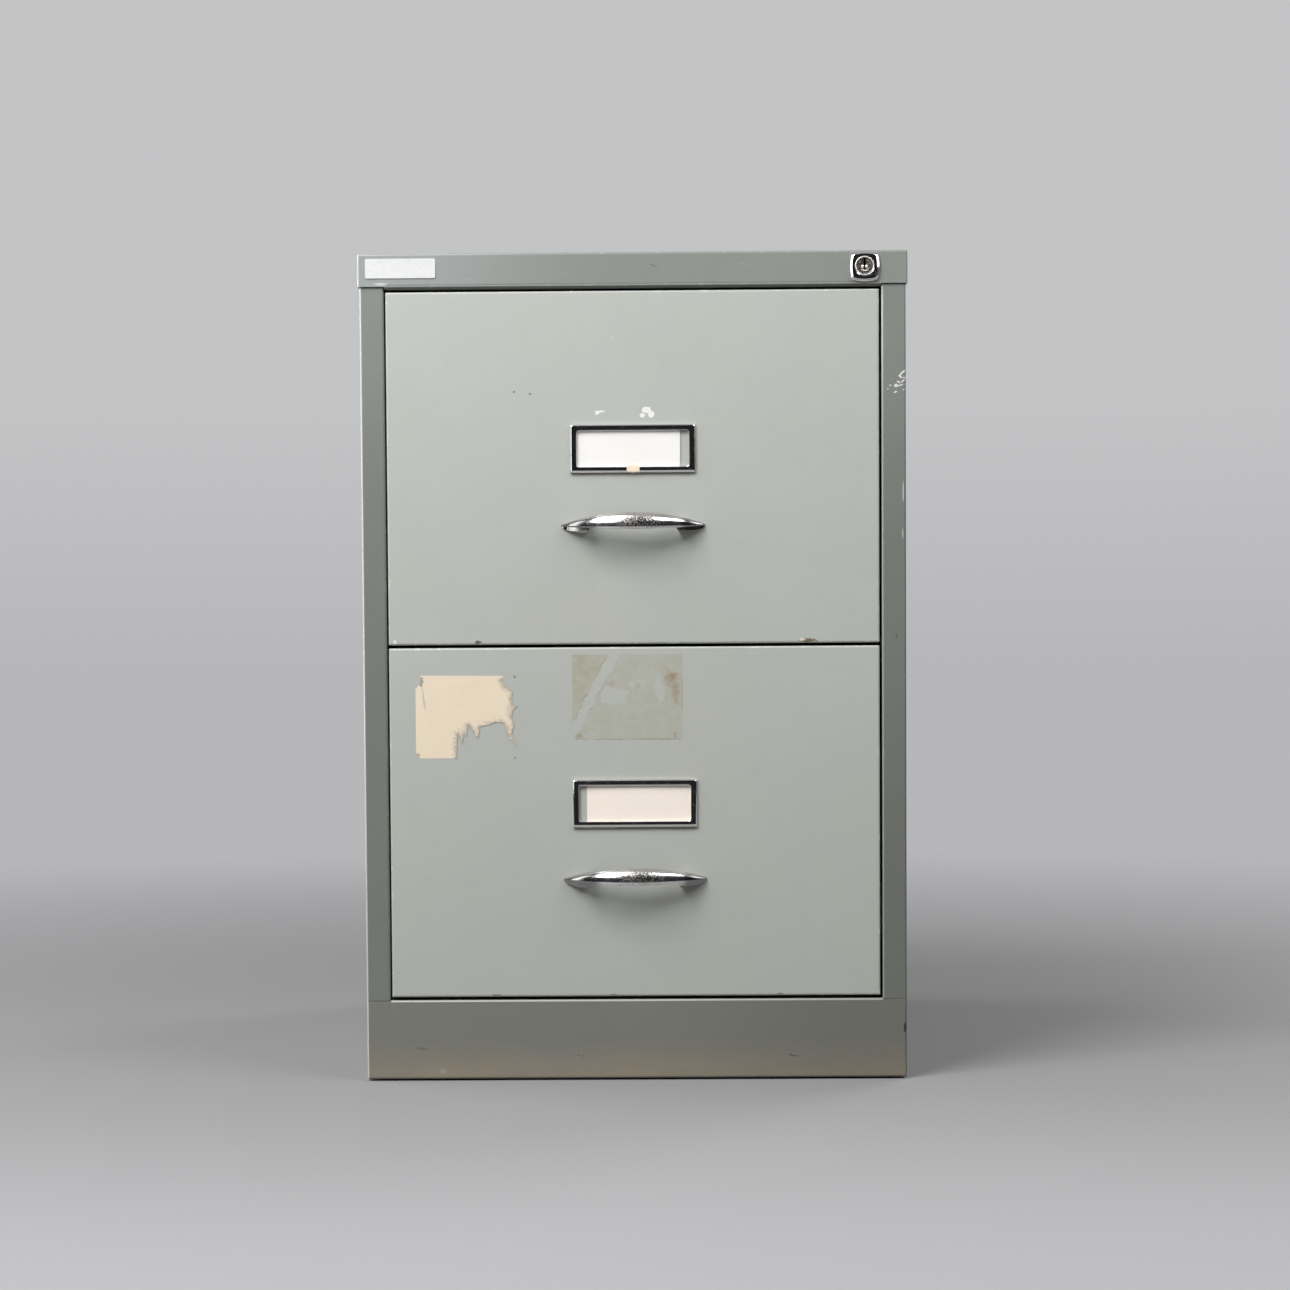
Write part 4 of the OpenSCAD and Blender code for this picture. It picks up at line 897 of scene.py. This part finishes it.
def weld_tree():
    """Geometry Nodes: low round marks at an even pitch along the edges of a mesh, turned by "facing"."""
    tree = bpy.data.node_groups.new("weld_marks", "GeometryNodeTree")
    face = tree.interface
    face.new_socket("Rows", in_out="INPUT", socket_type="NodeSocketGeometry")
    for label, number in (("Pitch", 0.055), ("Radius", 0.0032), ("Height", 0.0004), ("Uneven", 0.12)):
        face.new_socket(label, in_out="INPUT", socket_type="NodeSocketFloat").default_value = number
    face.new_socket("Seed", in_out="INPUT", socket_type="NodeSocketInt").default_value = 7
    face.new_socket("Paint", in_out="INPUT", socket_type="NodeSocketMaterial")
    face.new_socket("Marks", in_out="OUTPUT", socket_type="NodeSocketGeometry")

    def add(kind, inputs=None, **settings):
        return add_node(tree, kind, inputs, **settings).outputs

    given = add("NodeGroupInput")
    line = add("GeometryNodeMeshToCurve", {"Mesh": given["Rows"]})
    spaced = add("GeometryNodeResampleCurve", {"Curve": line[0], "Length": given["Pitch"]}, mode="LENGTH")
    top = add("ShaderNodeMath", {0: given["Radius"], 1: 0.72}, operation="MULTIPLY")
    mark = add("GeometryNodeMeshCone", {"Vertices": 20, "Radius Bottom": given["Radius"],
                                        "Radius Top": top[0], "Depth": given["Height"]})
    facing = add("GeometryNodeInputNamedAttribute", {"Name": "facing"}, data_type="FLOAT_VECTOR")
    turn = add("FunctionNodeAlignRotationToVector", {"Vector": facing["Attribute"]}, axis="Z")
    least = add("ShaderNodeMath", {0: 1.0, 1: given["Uneven"]}, operation="SUBTRACT")
    size = add_node(tree, "FunctionNodeRandomValue", {"Seed": given["Seed"]}, data_type="FLOAT")
    low, high = [socket for socket in size.inputs if socket.type == "VALUE"][:2]
    wire(tree, low, least[0])
    wire(tree, high, 1.0)
    share = next(socket for socket in size.outputs if socket.type == "VALUE")
    placed = add("GeometryNodeInstanceOnPoints", {"Points": spaced[0], "Instance": mark["Mesh"],
                                                  "Rotation": turn[0], "Scale": share})
    real = add("GeometryNodeRealizeInstances", {0: placed[0]})
    painted = add("GeometryNodeSetMaterial", {"Geometry": real[0], "Material": given["Paint"]})
    add("NodeGroupOutput", {"Marks": painted[0]})
    return tree


def make_weld_marks(material):
    """Rows of spot welds where the side panels meet their uprights and the back meets the sides."""
    side_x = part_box("side_panel_right")[1].x
    back_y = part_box("back_panel")[1].y
    rows = []
    for side in (-1, 1):
        for y in (-0.262, 0.292):
            rows.append(((side * side_x, y, 0.070), (side * side_x, y, 0.655), (side, 0, 0)))
        rows.append(((side * 0.222, back_y, 0.045), (side * 0.222, back_y, 0.675), (0, 1, 0)))
    rows.append(((-0.190, back_y, 0.014), (0.190, back_y, 0.014), (0, 1, 0)))
    data = bpy.data.meshes.new("weld_rows")
    data.from_pydata([end for row in rows for end in row[:2]],
                     [(2 * i, 2 * i + 1) for i in range(len(rows))], [])
    facing = data.attributes.new("facing", "FLOAT_VECTOR", "POINT")
    for i, value in enumerate(facing.data):
        value.vector = rows[i // 2][2]
    guide = put("weld_rows", data)
    tree = weld_tree()
    modifier = guide.modifiers.new("weld_marks", "NODES")
    modifier.node_group = tree
    sockets = {item.name: item.identifier for item in tree.interface.items_tree if item.in_out == "INPUT"}
    modifier[sockets["Pitch"]] = 0.0585
    modifier[sockets["Paint"]] = material
    seen = guide.evaluated_get(bpy.context.evaluated_depsgraph_get())
    plain = bpy.data.meshes.new_from_object(seen)
    guide.modifiers.remove(modifier)
    bpy.data.objects.remove(guide)
    plain.materials.clear()
    plain.materials.append(material)
    for mark in plain.polygons:
        mark.material_index = 0
    settle(put("weld_marks", plain), "cabinet", 60)


# ---- Lock ----

def make_lock_housing(material):
    """Bezel with sloping rims and a flat face, and the threaded barrel behind it."""
    x0, z0 = middle_of("lock_housing")
    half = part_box("lock_housing")[1].x - x0
    sides = 96

    def square(inset, height):
        ring = bulged_square(half - inset * MM, 42 * MM, 0.45 * MM, sides)
        # the lower rim is narrower than the others
        ring = [(x, z - 0.5 * inset * MM * (z / half) ** 2) if z < 0 else (x, z) for x, z in ring]
        return [(x0 + x, CAP_Y - height * MM, z0 + z) for x, z in ring]

    def turned(radius, height):
        return circle(x0, CAP_Y - height * MM, z0, radius * MM, sides)

    rims = ((0.02, 0.0), (0.02, 1.5), (0.1, 1.78), (0.3, 2.05), (1.2, 2.8),
            (2.1, 3.54), (2.35, 3.76), (2.65, 3.94), (3.0, 4.0), (4.2, 4.0))
    bore = ((8.32, 4.0), (8.25, 3.95), (8.2, 3.7), (6.8, 3.7), (6.8, -24.0), (8.7, -24.0))
    thread = [(8.95 if i % 2 else 8.5, -23.6 + i * 0.8) for i in range(26)]
    loops = [square(inset, height) for inset, height in rims]
    loops += [turned(radius, height) for radius, height in (*bore, *thread, (8.95, 0.0))]
    shell = skin(loops + loops[:1], closed=False)
    piece = mesh_piece("lock_bezel", shell, material, "cabinet", 40)
    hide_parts("lock_housing")


def make_lock_ring(material):
    """Satin ring pressed into the bezel round the cylinder."""
    x0, z0 = middle_of("lock_housing")
    profile = ((8.15, 3.75), (8.15, 4.1), (8.0, 4.2), (7.7, 4.2), (7.25, 4.2), (7.12, 4.12),
               (7.1, 3.9), (7.1, 3.75), (8.15, 3.75))
    loops = [circle(x0, CAP_Y - height * MM, z0, radius * MM, 96) for radius, height in profile]
    mesh_piece("lock_ring", skin(loops, closed=False), material, "cabinet", 40)


def make_keyway_trim(material):
    """Two small studs and a serrated crescent that guide the key on the cylinder's face."""
    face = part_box("lock_plug")[0].y
    x0, z0 = middle_of("lock_plug")

    def stud(right, up, profile, sides, tall=1.0):
        return skin([circle(x0 + right * MM, face - height * MM, z0 + up * MM, radius * MM, sides, tall)
                     for radius, height in profile])

    dome = ((1.25, -0.1), (1.2, 0.25), (0.9, 0.55), (0.45, 0.7))
    tooth = ((0.5, -0.1), (0.46, 0.25), (0.2, 0.4))
    parts = [stud(side * 1.75, -0.6, dome, 16, 1.25) for side in (-1, 1)]
    for share in np.linspace(-1, 1, 7):
        parts.append(stud(0.2 + share * 2.7, -4.1 + share ** 2, tooth, 10))
    mesh_piece("keyway_trim", join_up(parts), material, "lock_cylinder", 40)


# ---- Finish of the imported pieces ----

def dress_frame():
    """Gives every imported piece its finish."""
    marks = {"top_cap": cap_marks, "plinth": plinth_marks, "side_panel_left": side_panel_light_and_shade,
             "side_panel_right": right_side_marks, "drawer_front_upper": upper_front_marks,
             "drawer_front_lower": lower_front_marks}
    colours = {"frame_paint": FRAME_GREY, "drawer_paint": DRAWER_GREY, "inner_paint": INNER_GREY}
    # the cap's grey is painted light from above; the plinth's grey is its own tone
    cap_lit_plinth_own = {"top_cap": CAP_GREY_PAINTED_LIT, "plinth": PLINTH_GREY}
    shared = {
        "galvanised": galvanised("galvanised_sheet"),
        "runner_steel": zinc_plate("runner_zinc"),
        "zinc_steel": zinc_plate("bright_zinc", (0.60, 0.60, 0.58), 0.28, (1, 1, 1)),
        "ball_steel": zinc_plate("cage_steel", (0.62, 0.58, 0.46), 0.26),
        "chrome_trim": cast_chrome("chrome_plate"),
        "lock_brass": nickel("nickelled_brass"),
        "nylon": moulded("natural_nylon", (0.80, 0.79, 0.74), 0.42),
        "glide_rubber": moulded("black_rubber", (0.028, 0.028, 0.030), 0.62),
        "badge_white": glossy_white("blank_plate"),
        "card": paper("plain_card", (0.86, 0.84, 0.79), (0.78, 0.70, 0.58)),
    }
    for node, piece in frame["nodes"].items():
        slot = SLOT_OF[node]
        if slot in colours:
            material = enamel(f"enamel_{node}", cap_lit_plinth_own.get(node, colours[slot]), node, marks.get(node),
                              0.75 if node == "plinth" else 0.0)
        else:
            material = shared[slot]
        piece.data.materials.clear()
        piece.data.materials.append(material)
    return shared


# ---- Studio ----

HORIZON = (0.47, 0.47, 0.485)
BACKDROP_TOP = (0.55, 0.55, 0.56)
SPACE_DARK = (0.015, 0.015, 0.018)
WORLD_LIGHT = 0.095


def make_floor():
    """Pale floor, darker at the cabinet as painted shade, that fades into the background far from the
    cabinet.
    """
    data = bpy.data.meshes.new("studio_floor")
    radius, sides = 14.0, 96
    ring = [(x, z, 0.0) for x, _, z in circle(0, 0, 0, radius, sides)]
    data.from_pydata(ring, [], [tuple(range(sides))])
    floor = put("studio_floor", data)
    f = Finish("studio_floor")
    rays = f.add("ShaderNodeLightPath").outputs
    straight = f.most(rays["Is Camera Ray"], rays["Is Glossy Ray"])
    # painted shade: the floor is darker at and behind the cabinet, paler towards the camera
    pale = f.mix(f.band(f.y, -0.35, -1.3), (0.262, 0.262, 0.267), (0.355, 0.355, 0.365))
    f.set(Base_Color=f.mix(straight, (0.07, 0.07, 0.07), pale), Roughness=0.75)
    # what gloss sees of the floor ahead of the cabinet is dark
    ahead = f.both(rays["Is Glossy Ray"], f.band(f.y, -0.6, -2.2))
    glow = f.add("ShaderNodeEmission", {"Color": f.mix(ahead, HORIZON, SPACE_DARK)})
    far = f.add("ShaderNodeVectorMath", {0: f.place}, operation="LENGTH").outputs["Value"]
    share = f.most(f.band(far, 0.35, 3.0), ahead)
    blend = f.add("ShaderNodeMixShader", {0: share, 1: f.shader.outputs[0], 2: glow.outputs[0]})
    f.tree.links.new(blend.outputs[0], f.tree.nodes["Material Output"].inputs[0])
    data.materials.append(f.material)


def make_world():
    """Even grey light, a pale backdrop for the camera, and for gloss a darker space ahead."""
    world = bpy.data.worlds.new("studio")
    bpy.context.scene.world = world
    world.use_nodes = True
    tree = world.node_tree
    tree.nodes.clear()

    def add(kind, inputs=None, **settings):
        return add_node(tree, kind, inputs, **settings).outputs

    def ramp(socket, stops):
        low, high = stops[0][0], stops[-1][0]
        spread = add("ShaderNodeMapRange", {0: socket, 1: low, 2: high})
        node = add_node(tree, "ShaderNodeValToRGB", {0: spread[0]})
        points = node.color_ramp.elements
        while len(points) < len(stops):
            points.new(0.5)
        for point, (place, colour) in zip(points, stops):
            point.position = (place - low) / (high - low)
            point.color = (*colour, 1)
        return node.outputs[0]

    def shade(colour, strength):
        return add("ShaderNodeBackground", {0: colour, 1: strength})[0]

    def choose(factor, off, on):
        return add("ShaderNodeMixShader", {0: factor, 1: off, 2: on})[0]

    _, y, z = add("ShaderNodeSeparateXYZ", {0: add("ShaderNodeTexCoord")["Generated"]})
    backdrop = ramp(z, [(0.0, HORIZON), (0.09, BACKDROP_TOP), (0.3, BACKDROP_TOP)])
    dark, mid, pale = SPACE_DARK, (0.10, 0.10, 0.105), (0.42, 0.42, 0.43)
    upward = ramp(z, [(-0.2, mid), (0.02, dark), (0.30, dark), (0.65, mid), (1.0, pale)])
    behind = ramp(y, [(-0.15, (0, 0, 0)), (0.45, (1, 1, 1))])
    mirrored = add("ShaderNodeMix", {0: behind, 6: upward, 7: backdrop}, data_type="RGBA")[2]
    rays = add("ShaderNodeLightPath")
    light = shade((1.0, 1.0, 1.0), WORLD_LIGHT)
    light = choose(rays["Is Glossy Ray"], light, shade(mirrored, 1.0))
    light = choose(rays["Is Camera Ray"], light, shade(backdrop, 1.0))
    add("ShaderNodeOutputWorld", {0: light})


def softbox(name, place, aim, width, height, watts):
    data = bpy.data.lights.new(name, "AREA")
    data.shape, data.size, data.size_y = "RECTANGLE", width, height
    data.energy = watts
    lamp = put(name, data)
    lamp.location = place
    lamp.rotation_mode = "QUATERNION"
    lamp.rotation_quaternion = (Vector(aim) - Vector(place)).to_track_quat("-Z", "Y")


def make_lights():
    """Large softbox high on the left, a weaker one on the right, strips and two lights behind."""
    middle = (0.0, -0.1, 0.5)
    softbox("key_softbox", (-1.15, -1.80, 2.15), middle, 1.3, 1.9, 83)
    softbox("side_softbox", (1.45, -1.50, 2.05), (0.0, -0.1, 0.7), 1.4, 0.8, 23)
    softbox("left_strip", (-2.22, -0.95, 1.15), (0, -0.3, 0.6), 0.5, 1.9, 10)
    softbox("right_strip", (2.39, -0.53, 1.45), (0.2, -0.3, 0.7), 0.6, 1.0, 7)
    softbox("left_wall_light", (-2.6, 0.95, 0.95), (0, 0.5, 0.5), 2.1, 1.7, 44)
    softbox("rear_right_softbox", (1.9, 2.1, 1.7), middle, 1.2, 1.2, 28)


# ---- Assembly ----

make_camera()
make_world()
make_lights()
make_floor()
bpy.context.scene.view_settings.view_transform = "Standard"

finishes = dress_frame()
chrome = cast_chrome("polished_chrome", 0.7)
pull_chrome = cast_chrome("pull_chrome", 1.0, pull_marks, 0.13)
frame_chrome = cast_chrome("label_frame_chrome", 0.6, label_marks)
white_card = paper("white_card", (0.82, 0.81, 0.78), (0.78, 0.75, 0.70), 0.25, card_edge)
cream_card = paper("cream_card", (0.90, 0.81, 0.72), (0.84, 0.81, 0.78), 0.30)
cream_sticker = torn_paper("cream_sticker")
for level, card in (("upper", white_card), ("lower", cream_card)):
    make_handle(level, pull_chrome)
    make_label_holder(level, frame_chrome)
    make_card(level, card)
make_sticker(cream_sticker)
make_tape(paper("masking_tape", (0.80, 0.68, 0.54), (0.74, 0.60, 0.45)))
make_name_plate(finishes["badge_white"])
make_rolled_lip(enamel("enamel_lip", CAP_GREY_PAINTED_LIT, "top_cap", lip_light_and_shade))
make_weld_marks(enamel("enamel_welds", FRAME_GREY, "back_panel"))
make_lock_housing(chrome)
make_lock_ring(satin_plate("lock_ring_satin"))
make_keyway_trim(satin_plate("bright_studs"))
